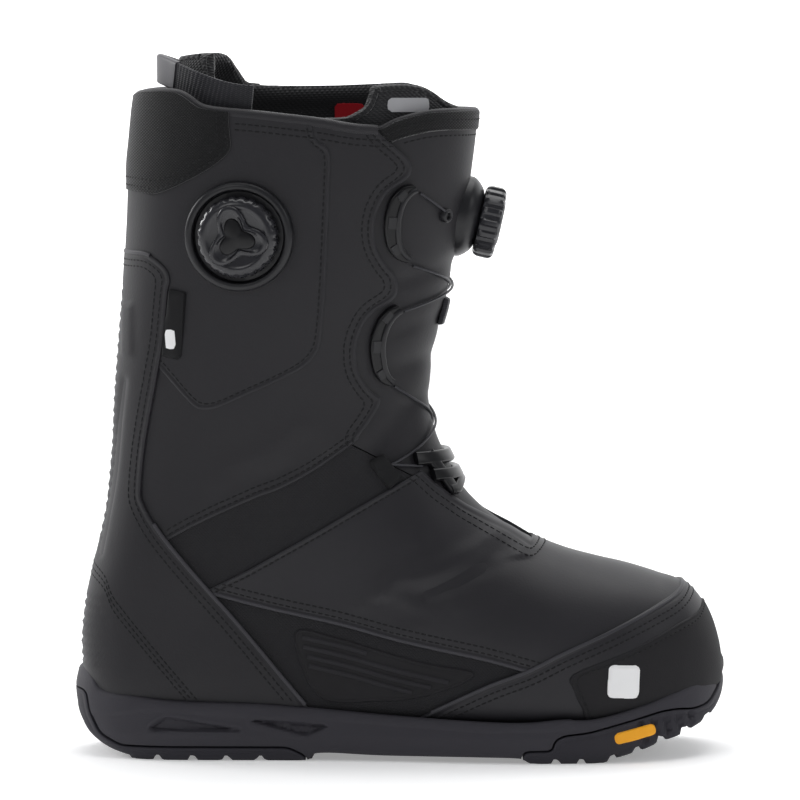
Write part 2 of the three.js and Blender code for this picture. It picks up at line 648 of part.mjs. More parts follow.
const sole = makeSole();
addPiece('upper', makeUpper(), 'shell');
addPiece('tongue', makeTongue(), 'shell');
addPiece('liner', makeLiner(), 'lining');
addPiece('insole', makeInsole(), 'fabric');
addPiece('midsole', makeMidsole(sole), 'foam');
addPiece('outsole_heel', makeHeelPod(sole), 'rubber');
addPiece('outsole_forefoot', makeToePod(sole), 'rubber');
addPiece('toe_cap', makeToeCap(), 'shell');
addPiece('heel_counter', makeHeelCounter(), 'shell');
addPiece('side_tag', makeSideTag(), 'webbing');
addPiece('side_dial_base', makeSideDialBase(), 'plastic');
addPiece('side_dial_knob', makeSideDialKnob(), 'plastic');
addPiece('front_dial_base', makeFrontDialBase(), 'plastic');
addPiece('front_dial_knob', makeFrontDialKnob(), 'plastic');
for (const [name, side] of [['lateral', -1], ['medial', 1]]) {
  addPiece(`upper_guide_${name}`, makeGuide(upperGuideOutline, side), 'plastic');
  addPiece(`lower_guide_${name}`, makeGuide(lowerGuideOutline, side), 'plastic');
  addPiece(`side_loop_${name}`, makeSideLoop(side), 'webbing');
  addPiece(`lace_top_${name}`, wire(onSide('dial', side), onSide('upperTop', side)), 'wire');
}
addPiece('tongue_tab', middlePad(tongueTabOutline, tongueTab.thickness, tongueTab.width), 'webbing');
addPiece('throat_guide', middlePad(throatGuideOutline, throatGuide.height, throatGuide.width), 'plastic');
addPiece('lace_upper_cross', crossing('upperBottom', 'lowerTop'), 'wire');
addPiece('lace_lower_cross', makeLowerLace(), 'wire');
addPiece('pull_loop', makePullLoop(), 'webbing');

// The origin is on the floor, at the middle of the box around the boot.
const box = new THREE.Box3().setFromObject(boot);
boot.position.set(-(box.min.x + box.max.x) / 2, -(box.min.y + box.max.y) / 2, -box.min.z);

export default boot;
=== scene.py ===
import math
import bpy
import numpy as np
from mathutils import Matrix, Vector
from mathutils.bvhtree import BVHTree


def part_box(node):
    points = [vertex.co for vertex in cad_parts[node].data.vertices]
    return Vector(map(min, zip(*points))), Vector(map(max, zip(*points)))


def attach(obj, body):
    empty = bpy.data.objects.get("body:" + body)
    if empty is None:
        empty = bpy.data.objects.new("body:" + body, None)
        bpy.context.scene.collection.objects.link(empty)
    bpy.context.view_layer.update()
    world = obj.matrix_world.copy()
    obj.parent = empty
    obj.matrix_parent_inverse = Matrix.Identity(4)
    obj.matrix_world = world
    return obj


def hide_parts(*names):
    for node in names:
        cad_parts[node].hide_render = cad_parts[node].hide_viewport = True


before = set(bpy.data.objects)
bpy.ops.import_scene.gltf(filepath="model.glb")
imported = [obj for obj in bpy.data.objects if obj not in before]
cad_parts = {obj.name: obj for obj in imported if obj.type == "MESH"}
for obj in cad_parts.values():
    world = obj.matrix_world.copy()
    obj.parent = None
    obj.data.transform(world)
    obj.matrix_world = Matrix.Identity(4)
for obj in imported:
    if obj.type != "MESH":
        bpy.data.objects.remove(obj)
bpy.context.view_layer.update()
bpy.ops.object.select_all(action="DESELECT")
print("frame loaded")

# frame and grading
# The boot's pattern is in millimetres, toe to +X and outer side to -Y, and is graded to the frame.
pattern = {"length": 305.1, "height": 331.0, "shellWidth": 108.4, "soleWidth": 115.0}
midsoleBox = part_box("midsole")
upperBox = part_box("upper")
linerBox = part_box("liner")
middleX = (midsoleBox[0].x + midsoleBox[1].x) / 2
middleY = (midsoleBox[0].y + midsoleBox[1].y) / 2
gradeX = (midsoleBox[1].x - midsoleBox[0].x) / pattern["length"]
gradeY = (upperBox[1].y - upperBox[0].y) / pattern["shellWidth"]
gradeZ = linerBox[1].z / pattern["height"]


def toFrame(points):
    points = np.asarray(points, float)
    return points * (gradeX, gradeY, gradeZ) + (middleX, middleY, 0.0)


# the last's form
# Each section: instep x, z, sole x, z, half width, sideways shift, widest place, fullness of instep and sole.
sectionRows = [
    (151.0, 41.4, 151.1, 38.6, 1.2, 9.2, 0.50, 2.0, 2.0),
    (149.9, 44.0, 150.3, 36.0, 8.0, 9.0, 0.50, 2.0, 2.0),
    (148.6, 51.0, 149.3, 30.0, 15.5, 8.5, 0.52, 2.1, 2.2),
    (145.6, 61.0, 146.5, 25.0, 23.5, 8.0, 0.55, 2.1, 2.5),
    (140.6, 70.5, 141.0, 21.5, 32.0, 7.0, 0.58, 2.2, 3.0),
    (133.0, 78.2, 133.0, 19.0, 39.5, 6.0, 0.60, 2.3, 3.4),
    (122.0, 82.2, 122.0, 16.5, 45.5, 4.5, 0.62, 2.3, 3.6),
    (108.0, 86.6, 108.0, 14.0, 50.0, 3.0, 0.63, 2.3, 3.8),
    (93.0, 90.3, 92.0, 12.5, 52.8, 1.6, 0.63, 2.25, 4.0),
    (78.0, 94.5, 74.0, 12.0, 54.0, 0.6, 0.62, 2.2, 4.0),
    (63.0, 100.5, 54.0, 12.0, 53.0, -0.4, 0.61, 2.15, 4.0),
    (49.0, 108.2, 33.0, 12.3, 50.5, -1.4, 0.60, 2.1, 4.2),
    (37.5, 117.0, 11.0, 12.8, 47.5, -2.0, 0.58, 2.1, 4.6),
    (29.0, 126.5, -12.0, 13.8, 45.0, -2.2, 0.56, 2.1, 5.0),
    (23.0, 137.5, -38.0, 15.0, 43.2, -2.0, 0.54, 2.15, 5.6),
    (17.8, 148.5, -66.0, 16.5, 42.3, -1.4, 0.52, 2.2, 6.2),
    (15.0, 158.5, -92.0, 17.8, 42.0, -0.8, 0.50, 2.25, 6.6),
    (14.3, 167.0, -118.0, 19.0, 41.8, -0.4, 0.50, 2.3, 6.2),
    (14.6, 174.0, -137.0, 22.0, 42.0, 0.0, 0.50, 2.35, 4.4),
    (15.2, 181.0, -145.3, 32.0, 42.5, 0.0, 0.50, 2.4, 3.3),
    (16.3, 190.0, -148.0, 48.0, 43.0, 0.0, 0.50, 2.4, 2.8),
    (18.5, 200.0, -146.5, 70.0, 43.5, 0.0, 0.50, 2.4, 2.6),
    (21.3, 210.0, -142.0, 92.0, 44.2, 0.0, 0.50, 2.4, 2.5),
    (23.5, 220.5, -137.0, 116.0, 45.2, 0.0, 0.50, 2.4, 2.45),
    (26.0, 231.0, -134.0, 142.0, 46.5, 0.0, 0.50, 2.4, 2.4),
    (28.6, 242.0, -132.5, 168.0, 48.0, 0.0, 0.50, 2.4, 2.4),
    (31.0, 254.0, -130.5, 194.0, 49.5, 0.0, 0.50, 2.4, 2.4),
    (33.0, 266.0, -128.5, 220.0, 51.0, 0.0, 0.50, 2.4, 2.4),
    (34.8, 279.0, -127.0, 248.0, 52.5, 0.0, 0.50, 2.4, 2.4),
]
shellTopRows = [
    (36.3, 292.0, -126.0, 276.0, 53.5, 0.0, 0.50, 2.4, 2.4),
    (37.3, 306.0, -124.0, 303.0, 54.0, 0.0, 0.50, 2.4, 2.4),
    (37.8, 322.0, -119.0, 332.0, 54.0, 0.0, 0.50, 2.4, 2.4),
]
linerTopRows = [
    (34.5, 292.0, -123.5, 276.0, 52.0, 0.0, 0.50, 2.4, 2.4),
    (32.0, 306.0, -118.0, 301.0, 50.0, 0.0, 0.50, 2.4, 2.4),
    (27.0, 324.0, -108.0, 322.0, 46.0, 0.0, 0.50, 2.4, 2.4),
    (20.0, 342.0, -99.0, 343.0, 42.0, 0.0, 0.50, 2.4, 2.4),
]


def smoothColumns(stations, values, fineStations):
    # a smooth curve through each column, with slopes from the two neighbours
    steps = np.diff(stations)[:, None]
    slopes = np.diff(values, axis=0) / steps
    between = (slopes[:-1] * steps[1:] + slopes[1:] * steps[:-1]) / (steps[1:] + steps[:-1])
    tangents = np.vstack([slopes[:1], between, slopes[-1:]])
    index = np.clip(np.searchsorted(stations, fineStations) - 1, 0, len(stations) - 2)
    width = steps[index]
    t = ((fineStations - stations[index])[:, None]) / width
    low, high = values[index], values[index + 1]
    return ((2 * t**3 - 3 * t**2 + 1) * low + (t**3 - 2 * t**2 + t) * width * tangents[index]
            + (3 * t**2 - 2 * t**3) * high + (t**3 - t**2) * width * tangents[index + 1])


def formGrid(rows, rowCount, halfCount):
    # rows of points round the form, from the toe up to the collar, outer side first
    rows = np.array(rows)
    sole, instep = (np.linalg.norm(np.diff(rows[:, k:k + 2], axis=0), axis=1) for k in (2, 0))
    run = sole + 0.6 * instep
    stations = np.concatenate([[0], np.cumsum(run)])
    fine = smoothColumns(stations, rows, np.linspace(0, stations[-1], rowCount))
    turn = np.linspace(0, math.pi, 121)
    inFront = turn < math.pi / 2
    grid = []
    for instepX, instepZ, soleX, soleZ, half, shift, widest, frontFull, backFull in fine:
        full = 2 / np.where(inFront, frontFull, backFull)
        along = np.abs(np.cos(turn)) ** full
        share = np.where(inFront, widest * (1 - along), widest + (1 - widest) * along)
        side = half * np.maximum(np.sin(turn), 0) ** full
        side[0] = side[-1] = 0
        path = np.column_stack([instepX + (soleX - instepX) * share, side, instepZ + (soleZ - instepZ) * share])
        length = np.concatenate([[0], np.cumsum(np.linalg.norm(np.diff(path, axis=0), axis=1))])
        even = np.linspace(0, length[-1], halfCount + 1)
        path = np.column_stack([np.interp(even, length, path[:, k]) for k in range(3)])
        near = path * (1, -1, 1) + (0, shift, 0)
        grid.append(np.vstack([near, path[-2:0:-1] + (0, shift, 0)]))
    return np.array(grid)


def gridNormals(grid):
    along = np.gradient(grid, axis=0)
    around = np.roll(grid, -1, axis=1) - np.roll(grid, 1, axis=1)
    normal = np.cross(around, along)
    length = np.linalg.norm(normal, axis=2)
    length[length < 1e-9] = 1
    normal /= length[:, :, None]
    middle = grid.mean(axis=1, keepdims=True)
    if np.mean(np.sum(normal * (grid - middle), axis=2)) < 0:
        normal = -normal
    return normal


def gridFaces(rows, columns):
    # four-sided faces of rings that close on themselves
    i, j = np.meshgrid(np.arange(rows - 1), np.arange(columns), indexing="ij")
    k = (j + 1) % columns
    corners = [i * columns + j, i * columns + k, (i + 1) * columns + k, (i + 1) * columns + j]
    return np.stack(corners, axis=-1).reshape(-1, 4)


# a skin holds one line of numbers for each point: place, outward normal, way round and way up
def skinOf(grid):
    normal = gridNormals(grid)
    count, columns = grid.shape[:2]
    around = np.arange(columns)[None, :] / columns * np.ones((count, 1))
    up = np.arange(count)[:, None] / count * np.ones((1, columns))
    data = np.concatenate([grid, normal, around[..., None], up[..., None]], axis=2).reshape(-1, 8)
    faces = gridFaces(count, columns)
    a, b, c = (data[faces[len(faces) // 2][n], :3] for n in range(3))
    if np.dot(np.cross(b - a, c - a), data[faces[len(faces) // 2][0], 3:6]) < 0:
        faces = faces[:, ::-1]
    return data, faces


# outlines and fields
def smoothLine(points, steps=6, closed=False):
    # a smooth line through all the points
    points = np.array(points, float)
    count = len(points)
    line = []
    spans = count if closed else count - 1
    for i in range(spans):
        near = (i - 1, i, i + 1, i + 2)
        a, b, c, d = (points[n % count] if closed else points[min(max(n, 0), count - 1)] for n in near)
        for step in range(steps):
            t = step / steps
            square, cube = 2 * a - 5 * b + 4 * c - d, 3 * b - a - 3 * c + d
            line.append(0.5 * (2 * b + (c - a) * t + square * t * t + cube * t**3))
    if not closed:
        line.append(points[-1])
    return np.array(line)


def roundCorners(points, radius, steps=4):
    # a closed outline of straight sides with each corner rounded
    points = np.array(points, float)
    line = []
    for i, corner in enumerate(points):
        before, after = points[i - 1] - corner, points[(i + 1) % len(points)] - corner
        reach = min(radius, np.linalg.norm(before) * 0.45, np.linalg.norm(after) * 0.45)
        start = corner + before / np.linalg.norm(before) * reach
        end = corner + after / np.linalg.norm(after) * reach
        for step in range(steps + 1):
            t = step / steps
            line.append((1 - t) ** 2 * start + 2 * t * (1 - t) * corner + t * t * end)
    return np.array(line)


def lineDistance(places, line, closed=False):
    # how far each place is from a line of points
    line = np.asarray(line, float)
    if closed:
        line = np.vstack([line, line[:1]])
    best = np.full(len(places), 1e9)
    for a, b in zip(line[:-1], line[1:]):
        span = b - a
        size = max(float(span @ span), 1e-12)
        t = np.clip(((places - a) @ span) / size, 0, 1)
        best = np.minimum(best, np.sum((places - a - t[:, None] * span) ** 2, axis=1))
    return np.sqrt(best)


def insideOutline(places, line):
    # whether each place lies inside a closed outline
    inside = np.zeros(len(places), bool)
    line = np.asarray(line, float)
    for a, b in zip(line, np.roll(line, -1, axis=0)):
        crosses = (a[1] > places[:, 1]) != (b[1] > places[:, 1])
        if abs(b[1] - a[1]) > 1e-12:
            at = a[0] + (places[:, 1] - a[1]) * (b[0] - a[0]) / (b[1] - a[1])
            inside ^= crosses & (places[:, 0] < at)
    return inside


def outlineField(outline):
    # negative inside the outline, seen from the side
    def field(data):
        places = data[:, [0, 2]]
        distance = lineDistance(places, outline, True)
        return np.where(insideOutline(places, outline), -distance, distance)
    return field


def belowField(line, drop=0.0):
    # negative below a line of height over x
    line = np.asarray(line, float)
    order = np.argsort(line[:, 0], kind="stable")

    def field(data):
        return data[:, 2] - np.interp(data[:, 0], line[order, 0], line[order, 1]) - drop
    return field


def aboveField(line, drop=0.0):
    below = belowField(line, drop)
    return lambda data: -below(data)


def outsideField(field, clearance=0.0):
    return lambda data: clearance - field(data)


def trim(data, faces, values):
    # keeps where the values are negative, and cuts the faces that the border crosses
    negative = values < 0
    if isinstance(faces, np.ndarray):
        faces = faces[negative[faces].any(axis=1)].tolist()
    flags = negative.tolist()
    count = len(data)
    cuts = {}
    kept = []
    for face in faces:
        inside = [flags[v] for v in face]
        if all(inside):
            kept.append(face)
            continue
        if not any(inside):
            continue
        ring = []
        for n, v in enumerate(face):
            w = face[(n + 1) % len(face)]
            if flags[v]:
                ring.append(v)
            if flags[v] != flags[w]:
                ring.append(cuts.setdefault((min(v, w), max(v, w)), count + len(cuts)))
        if len(ring) > 2:
            kept.append(ring)
    if cuts:
        pairs = np.array(list(cuts))
        low, high = values[pairs[:, 0]], values[pairs[:, 1]]
        t = np.clip(low / (low - high), 0.001, 0.999)[:, None]
        data = np.vstack([data, data[pairs[:, 0]] * (1 - t) + data[pairs[:, 1]] * t])
    used = np.zeros(len(data), bool)
    used[[v for face in kept for v in face]] = True
    renumber = (np.cumsum(used) - 1).tolist()
    data = data[used]
    data[:, 3:6] /= np.maximum(np.linalg.norm(data[:, 3:6], axis=1), 1e-9)[:, None]
    return data, [[renumber[v] for v in face] for face in kept]


def trimAll(data, faces, fields):
    for field in fields:
        data, faces = trim(data, faces, field(data))
    return data, faces


def contour(data, faces, values):
    # ordered runs of points where the values cross zero
    flags = (values < 0).tolist()
    joins = {}
    for face in faces:
        inside = [flags[v] for v in face]
        if all(inside) or not any(inside):
            continue
        ends = []
        for n, v in enumerate(face):
            w = face[(n + 1) % len(face)]
            if flags[v] != flags[w]:
                ends.append((v, w) if v < w else (w, v))
        for a, b in zip(ends[::2], ends[1::2]):
            joins.setdefault(a, []).append(b)
            joins.setdefault(b, []).append(a)
    runs = []
    free = set(joins)
    starts = [k for k in joins if len(joins[k]) == 1] + list(joins)
    for start in starts:
        if start not in free:
            continue
        run = [start]
        free.discard(start)
        while True:
            onward = [k for k in joins[run[-1]] if k in free]
            if not onward:
                break
            run.append(onward[0])
            free.discard(onward[0])
        if len(run) > 3:
            pairs = np.array(run)
            low, high = values[pairs[:, 0]], values[pairs[:, 1]]
            t = (low / (low - high))[:, None]
            points = data[pairs[:, 0]] * (1 - t) + data[pairs[:, 1]] * t
            closed = run[0] in joins[run[-1]] and len(run) > 8
            runs.append(np.vstack([points, points[:1]]) if closed else points)
    return runs


# making objects
def meshObject(name, points, faces, material, uvs, edge=None, smoothAngle=42):
    # a mesh in the frame's metres, with its flat map and the distance to its border
    mesh = bpy.data.meshes.new(name)
    placed = toFrame(points)
    placed[:, 2] = np.maximum(placed[:, 2], 0)  # nothing sinks into the floor
    mesh.from_pydata(placed.tolist(), [], [list(face) for face in faces])
    layer = mesh.uv_layers.new(name="UVMap")
    loops = np.zeros(len(mesh.loops), int)
    mesh.loops.foreach_get("vertex_index", loops)
    layer.data.foreach_set("uv", (np.asarray(uvs) * 0.001)[loops].ravel())
    if edge is not None:
        near = mesh.attributes.new("edge", "FLOAT", "POINT")
        near.data.foreach_set("value", np.clip(edge, 0, 20).astype(float))
    mesh.materials.append(material)
    mesh.update()
    piece = bpy.data.objects.new(name, mesh)
    bpy.context.scene.collection.objects.link(piece)
    bpy.context.view_layer.objects.active = piece
    piece.select_set(True)
    bpy.ops.object.shade_smooth_by_angle(angle=math.radians(smoothAngle))
    piece.select_set(False)
    return piece


def join(piece, replaces=()):
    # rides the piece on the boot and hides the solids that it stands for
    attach(piece, "root")
    if replaces:
        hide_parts(*replaces)
    return piece


def borderEdges(faces):
    seen = {}
    for face in faces:
        for n, v in enumerate(face):
            w = face[(n + 1) % len(face)]
            if seen.pop((w, v), None) is None:
                seen[(v, w)] = True
    return list(seen)


def closeSheet(outer, inner, faces):
    # an outer and an inner face joined round their border
    count = len(outer)
    made = list(faces) + [[v + count for v in face[::-1]] for face in faces]
    made += [[w, v, v + count, w + count] for v, w in borderEdges(faces)]
    return np.vstack([outer, inner]), made


def sheetPiece(name, skin, fields, lift, under, material, replaces=(), relief=None, roll=0.0, ignore=()):
    # a closed piece over the skin between two heights; relief adds to the upper one, and its rim
    # is rolled down; the borders of the fields in ignore don't count as rims
    data, faces = trimAll(*skin, fields)
    edge = np.full(len(data), 20.0)
    for n, field in enumerate(fields):
        if n not in ignore:
            edge = np.minimum(edge, np.abs(field(data)))
    top = np.full(len(data), float(lift))
    if relief is not None:
        top = top + relief(data)
    if roll:
        rim = under + 0.35 * (lift - under)
        top = rim + (top - rim) * np.sqrt(1 - (1 - np.clip(edge / roll, 0, 1)) ** 2)
    outer = data[:, :3] + data[:, 3:6] * top[:, None]
    inner = data[:, :3] + data[:, 3:6] * under
    points, made = closeSheet(outer, inner, faces)
    flat = data[:, [0, 2]]
    join(meshObject(name, points, made, material, np.vstack([flat, flat]), np.concatenate([edge, edge])),
         replaces)
    lifted = data.copy()
    lifted[:, :3] = outer
    return {"data": lifted, "faces": faces}


def sweep(path, normals, profile, scales=None):
    # a profile of (across, up) points carried along a path
    path = np.asarray(path, float)
    count = len(path)
    ahead = np.gradient(path, axis=0)
    ahead /= np.maximum(np.linalg.norm(ahead, axis=1), 1e-9)[:, None]
    up = normals - ahead * np.sum(normals * ahead, axis=1)[:, None]
    up /= np.maximum(np.linalg.norm(up, axis=1), 1e-9)[:, None]
    across = np.cross(ahead, up)
    profile = np.asarray(profile, float)
    size = np.ones((count, 2)) if scales is None else np.asarray(scales, float)
    rings = (path[:, None, :] + across[:, None, :] * profile[None, :, :1] * size[:, None, :1]
             + up[:, None, :] * profile[None, :, 1:] * size[:, None, 1:])
    sides = len(profile)
    faces = gridFaces(count, sides).tolist()
    faces += [list(range(sides))[::-1], list(range((count - 1) * sides, count * sides))]
    points = rings.reshape(-1, 3)
    volume = 0.0  # negative where the faces point inwards
    for face in faces[:: max(1, len(faces) // 4000)]:
        a, b, c = points[face[0]], points[face[1]], points[face[2]]
        middle = path[min(face[0] // sides, count - 1)]
        volume += np.dot(np.cross(b - a, c - a), (a + b + c) / 3 - middle)
    return points, [face[::-1] for face in faces] if volume < 0 else faces


def roundProfile(radius, sides=10, flatten=1.0):
    turn = np.arange(sides) / sides * 2 * math.pi
    return np.column_stack([radius * np.cos(turn), radius * flatten * np.sin(turn)])


def slabProfile(width, height, corner, steps=3):
    # a flat bar's section with rounded corners, standing on the path
    line = []
    for across, up, start in ((1, 1, 0), (-1, 1, 90), (-1, -1, 180), (1, -1, 270)):
        for step in range(steps + 1):
            turn = math.radians(start + 90 * step / steps)
            line.append((across * (width / 2 - corner) + corner * math.cos(turn),
                         up * (height / 2 - corner) + corner * math.sin(turn)))
    return np.array(line)


def evenPath(run, pitch):
    # the same line with its points an even step apart
    step = np.linalg.norm(np.diff(run[:, :3], axis=0), axis=1)
    length = np.concatenate([[0], np.cumsum(step)])
    even = np.linspace(0, length[-1], max(int(round(length[-1] / pitch)), 2) + 1)
    return np.column_stack([np.interp(even, length, run[:, k]) for k in range(run.shape[1])])


def softPath(run, rounds=3):
    # the same line with its corners eased
    run = run.copy()
    for _ in range(rounds):
        run[1:-1] = (run[:-2] + 2 * run[1:-1] + run[2:]) / 4
    return run


class Batch:
    # many small shapes that make one object
    def __init__(self):
        self.points, self.faces, self.count = [], [], 0

    def add(self, points, faces):
        self.points.append(np.asarray(points, float))
        self.faces += [[v + self.count for v in face] for face in faces]
        self.count += len(points)

    def build(self, name, material, slot, replaces=(), smoothAngle=42):
        points = np.vstack(self.points)
        join(meshObject(name, points, self.faces, material, points[:, [0, 2]], None, smoothAngle), replaces)


stitchLook = {"pitch": 3.1, "length": 2.2, "width": 0.75, "height": 0.5, "rise": 0.05, "taper": 0.35}


def addStitches(batch, runs):
    # a small thread loop for each step of a seam
    look = stitchLook
    profile = roundProfile(look["width"] / 2, 6, look["height"] / look["width"])
    for run in runs:
        run = evenPath(softPath(run), look["pitch"])
        for a, b in zip(run[:-1], run[1:]):
            middle = (a + b) / 2
            span = b[:3] - a[:3]
            long = np.linalg.norm(span)
            if long < 0.5 * look["pitch"] or long > 2 * look["pitch"]:
                continue
            share = np.array([-0.5, -0.36, 0.36, 0.5]) * look["length"] / long
            path = middle[:3] + span[None, :] * share[:, None] + middle[3:6] * look["rise"]
            sizes = np.array([[look["taper"]] * 2, [1, 1], [1, 1], [look["taper"]] * 2])
            batch.add(*sweep(path, np.tile(middle[3:6], (4, 1)), profile, sizes))


def seamRuns(made, field, distance, keep=None):
    # lines that lie a distance inside a piece's border
    runs = contour(made["data"], made["faces"], field(made["data"]) + distance)
    if keep is None:
        return runs
    out = []
    for run in runs:
        inside = keep(run)
        start = 0
        for n in range(len(run) + 1):
            if n == len(run) or not inside[n]:
                if n - start > 3:
                    out.append(run[start:n])
                start = n + 1
    return out


def addTube(batch, runs, radius, rise, flatten=0.8, sides=8, pitch=1.6):
    # a rounded cord laid along each run
    for run in runs:
        if len(run) < 5:
            continue
        run = evenPath(softPath(run, 4), pitch)
        if len(run) > 3:
            batch.add(*sweep(run[:, :3] + run[:, 3:6] * rise, run[:, 3:6], roundProfile(radius, sides, flatten)))


# shaders
def linear(rgb):
    # a colour of three bytes as linear values with full opacity
    shares = (v / 255 for v in rgb)
    return tuple(v / 12.92 if v <= 0.04045 else ((v + 0.055) / 1.055) ** 2.4 for v in shares) + (1.0,)


def newNode(tree, kind, links=(), **values):
    # a node with its sockets joined to others or set
    node = tree.nodes.new(kind)
    for key, value in values.items():
        setattr(node, key, value)
    for socket, source in dict(links).items():
        if isinstance(source, bpy.types.NodeSocket):
            tree.links.new(source, node.inputs[socket])
        else:
            node.inputs[socket].default_value = source
    return node


def maths(tree, operation, a, b=0.0, clamp=False):
    return newNode(tree, "ShaderNodeMath", {0: a, 1: b}, operation=operation, use_clamp=clamp).outputs[0]


def newGroup(name, inputs, outputs):
    tree = bpy.data.node_groups.new(name, "ShaderNodeTree")
    for label, value in inputs.items():
        tree.interface.new_socket(label, in_out="INPUT", socket_type="NodeSocketFloat").default_value = value
    for label in outputs:
        tree.interface.new_socket(label, in_out="OUTPUT", socket_type="NodeSocketFloat")
    return tree, tree.nodes.new("NodeGroupInput"), tree.nodes.new("NodeGroupOutput")


def grainGroup():
    # fine pebbled skin with slow clouds, from object coordinates
    tree, given, out = newGroup("skin grain", {"Size": 1.0}, ["Height", "Cloud"])
    place = newNode(tree, "ShaderNodeTexCoord").outputs["Object"]
    cells = newNode(tree, "ShaderNodeTexVoronoi", {"Vector": place,
                                                   "Scale": maths(tree, "DIVIDE", 900.0, given.outputs[0])},
                                                   feature="SMOOTH_F1")
    fine = newNode(tree, "ShaderNodeTexNoise", {"Vector": place,
                                                "Scale": maths(tree, "DIVIDE", 1500.0, given.outputs[0]),
                                                "Detail": 3.0})
    cloud = newNode(tree, "ShaderNodeTexNoise", {"Vector": place, "Scale": 22.0, "Detail": 4.0, "Roughness": 0.55})
    height = maths(tree, "ADD", maths(tree, "MULTIPLY", cells.outputs["Distance"], 0.6),
                   maths(tree, "MULTIPLY", fine.outputs[0], 0.7))
    tree.links.new(height, out.inputs[0])
    tree.links.new(cloud.outputs[0], out.inputs[1])
    return tree


def weaveGroup():
    # crossing threads, from the piece's own flat map in metres
    tree, given, out = newGroup("crossing threads", {"Across": 0.0011, "Along": 0.0011}, ["Height", "Cloud"])
    flat = newNode(tree, "ShaderNodeUVMap", uv_map="UVMap").outputs[0]
    split = newNode(tree, "ShaderNodeSeparateXYZ", {0: flat})
    turns = [maths(tree, "MULTIPLY", maths(tree, "DIVIDE", split.outputs[n], given.outputs[n]),
                   2 * math.pi) for n in (0, 1)]
    waves = [maths(tree, "SINE", turn) for turn in turns]
    crossed = maths(tree, "MULTIPLY", waves[0], waves[1])
    steep = maths(tree, "ADD", maths(tree, "MULTIPLY", crossed, 0.4),
                  maths(tree, "MULTIPLY", maths(tree, "ABSOLUTE", waves[1]), 0.35))
    cloud = newNode(tree, "ShaderNodeTexNoise", {"Vector": newNode(tree, "ShaderNodeTexCoord").outputs["Object"],
                                                 "Scale": 60.0, "Detail": 5.0})
    tree.links.new(maths(tree, "ADD", steep, 0.4), out.inputs[0])
    tree.links.new(cloud.outputs[0], out.inputs[1])
    return tree


def rollGroup():
    # a raised rim beside a piece's edge, with a fine groove inside it, and a mask for the painted highlight that
    # lightens the colour beside the edge
    tree, given, out = newGroup("rolled edge", {"Width": 1.6}, ["Height", "PaintedHighlight"])
    edge = newNode(tree, "ShaderNodeAttribute", attribute_name="edge").outputs["Fac"]
    share = maths(tree, "DIVIDE", edge, maths(tree, "MULTIPLY", given.outputs[0], 4.0), True)
    ramp = newNode(tree, "ShaderNodeValToRGB", {0: share})
    ramp.color_ramp.interpolation = "B_SPLINE"
    points = [(0.0, 0.1), (0.08, 0.85), (0.22, 1.0), (0.38, 0.25), (0.52, 0.6), (1.0, 0.6)]
    for place, value in points[1:-1]:
        ramp.color_ramp.elements.new(place)
    for element, (place, value) in zip(ramp.color_ramp.elements, points):
        element.position = place
        element.color = (value, value, value, 1)
    # painted highlight mask: 1 at the piece's edge, falling to 0 one width inside
    rim = maths(tree, "SUBTRACT", 1.0, maths(tree, "DIVIDE", edge, given.outputs[0], True), True)
    tree.links.new(ramp.outputs[0], out.inputs[0])
    tree.links.new(rim, out.inputs[1])
    return tree


groups = {"grain": grainGroup(), "weave": weaveGroup(), "roll": rollGroup()}


def makeMaterial(name, look):
    material = bpy.data.materials.new(name)
    material.use_nodes = True
    tree = material.node_tree
    shader = tree.nodes["Principled BSDF"]
    texture = look.get("texture", "grain")
    source = newNode(tree, "ShaderNodeGroup")
    source.node_tree = groups["weave" if texture == "weave" else "grain"]
    if texture == "weave":
        source.inputs[0].default_value, source.inputs[1].default_value = look.get("threads", (0.0011, 0.0011))
    else:
        source.inputs[0].default_value = look.get("size", 1.0)
    height, cloud = source.outputs[0], source.outputs[1]
    base = newNode(tree, "ShaderNodeMix", {0: cloud, 6: linear(look["dark"]), 7: linear(look["light"])},
                   data_type="RGBA")
    least, most = look["rough"] - look.get("spread", 0.05), look["rough"] + look.get("spread", 0.05)
    spread = newNode(tree, "ShaderNodeMapRange", {0: cloud, 1: 0.3, 2: 0.7, 3: least, 4: most})
    color = base.outputs[2]
    bump = newNode(tree, "ShaderNodeBump", {"Strength": look.get("bump", 0.3),
                                            "Distance": look.get("depth", 0.00025), "Height": height})
    normal = bump.outputs[0]
    if look.get("roll"):
        roll = newNode(tree, "ShaderNodeGroup")
        roll.node_tree = groups["roll"]
        roll.inputs[0].default_value = look["roll"]
        rolled = newNode(tree, "ShaderNodeBump", {"Strength": 0.7, "Distance": 0.0009, "Height": roll.outputs[0],
                                                  "Normal": normal})
        normal = rolled.outputs[0]
        # painted highlight: the colour is mixed towards the look's lighter rim colour beside each piece's edge
        rim = newNode(tree, "ShaderNodeMix", {0: maths(tree, "MULTIPLY", roll.outputs[1], 0.55), 6: color,
                                              7: linear(look.get("rim", look["light"]))}, data_type="RGBA")
        color = rim.outputs[2]
    tree.links.new(color, shader.inputs["Base Color"])
    tree.links.new(spread.outputs[0], shader.inputs["Roughness"])
    tree.links.new(normal, shader.inputs["Normal"])
    shader.inputs["Metallic"].default_value = look.get("metal", 0.0)
    shader.inputs["Specular IOR Level"].default_value = look.get("specular", 0.33)
    if look.get("sheen"):
        shader.inputs["Sheen Weight"].default_value = look["sheen"]
        shader.inputs["Sheen Roughness"].default_value = 0.5
    if look.get("coat"):
        shader.inputs["Coat Weight"].default_value = look["coat"]
        shader.inputs["Coat Roughness"].default_value = look.get("coatRough", 0.2)
    return material
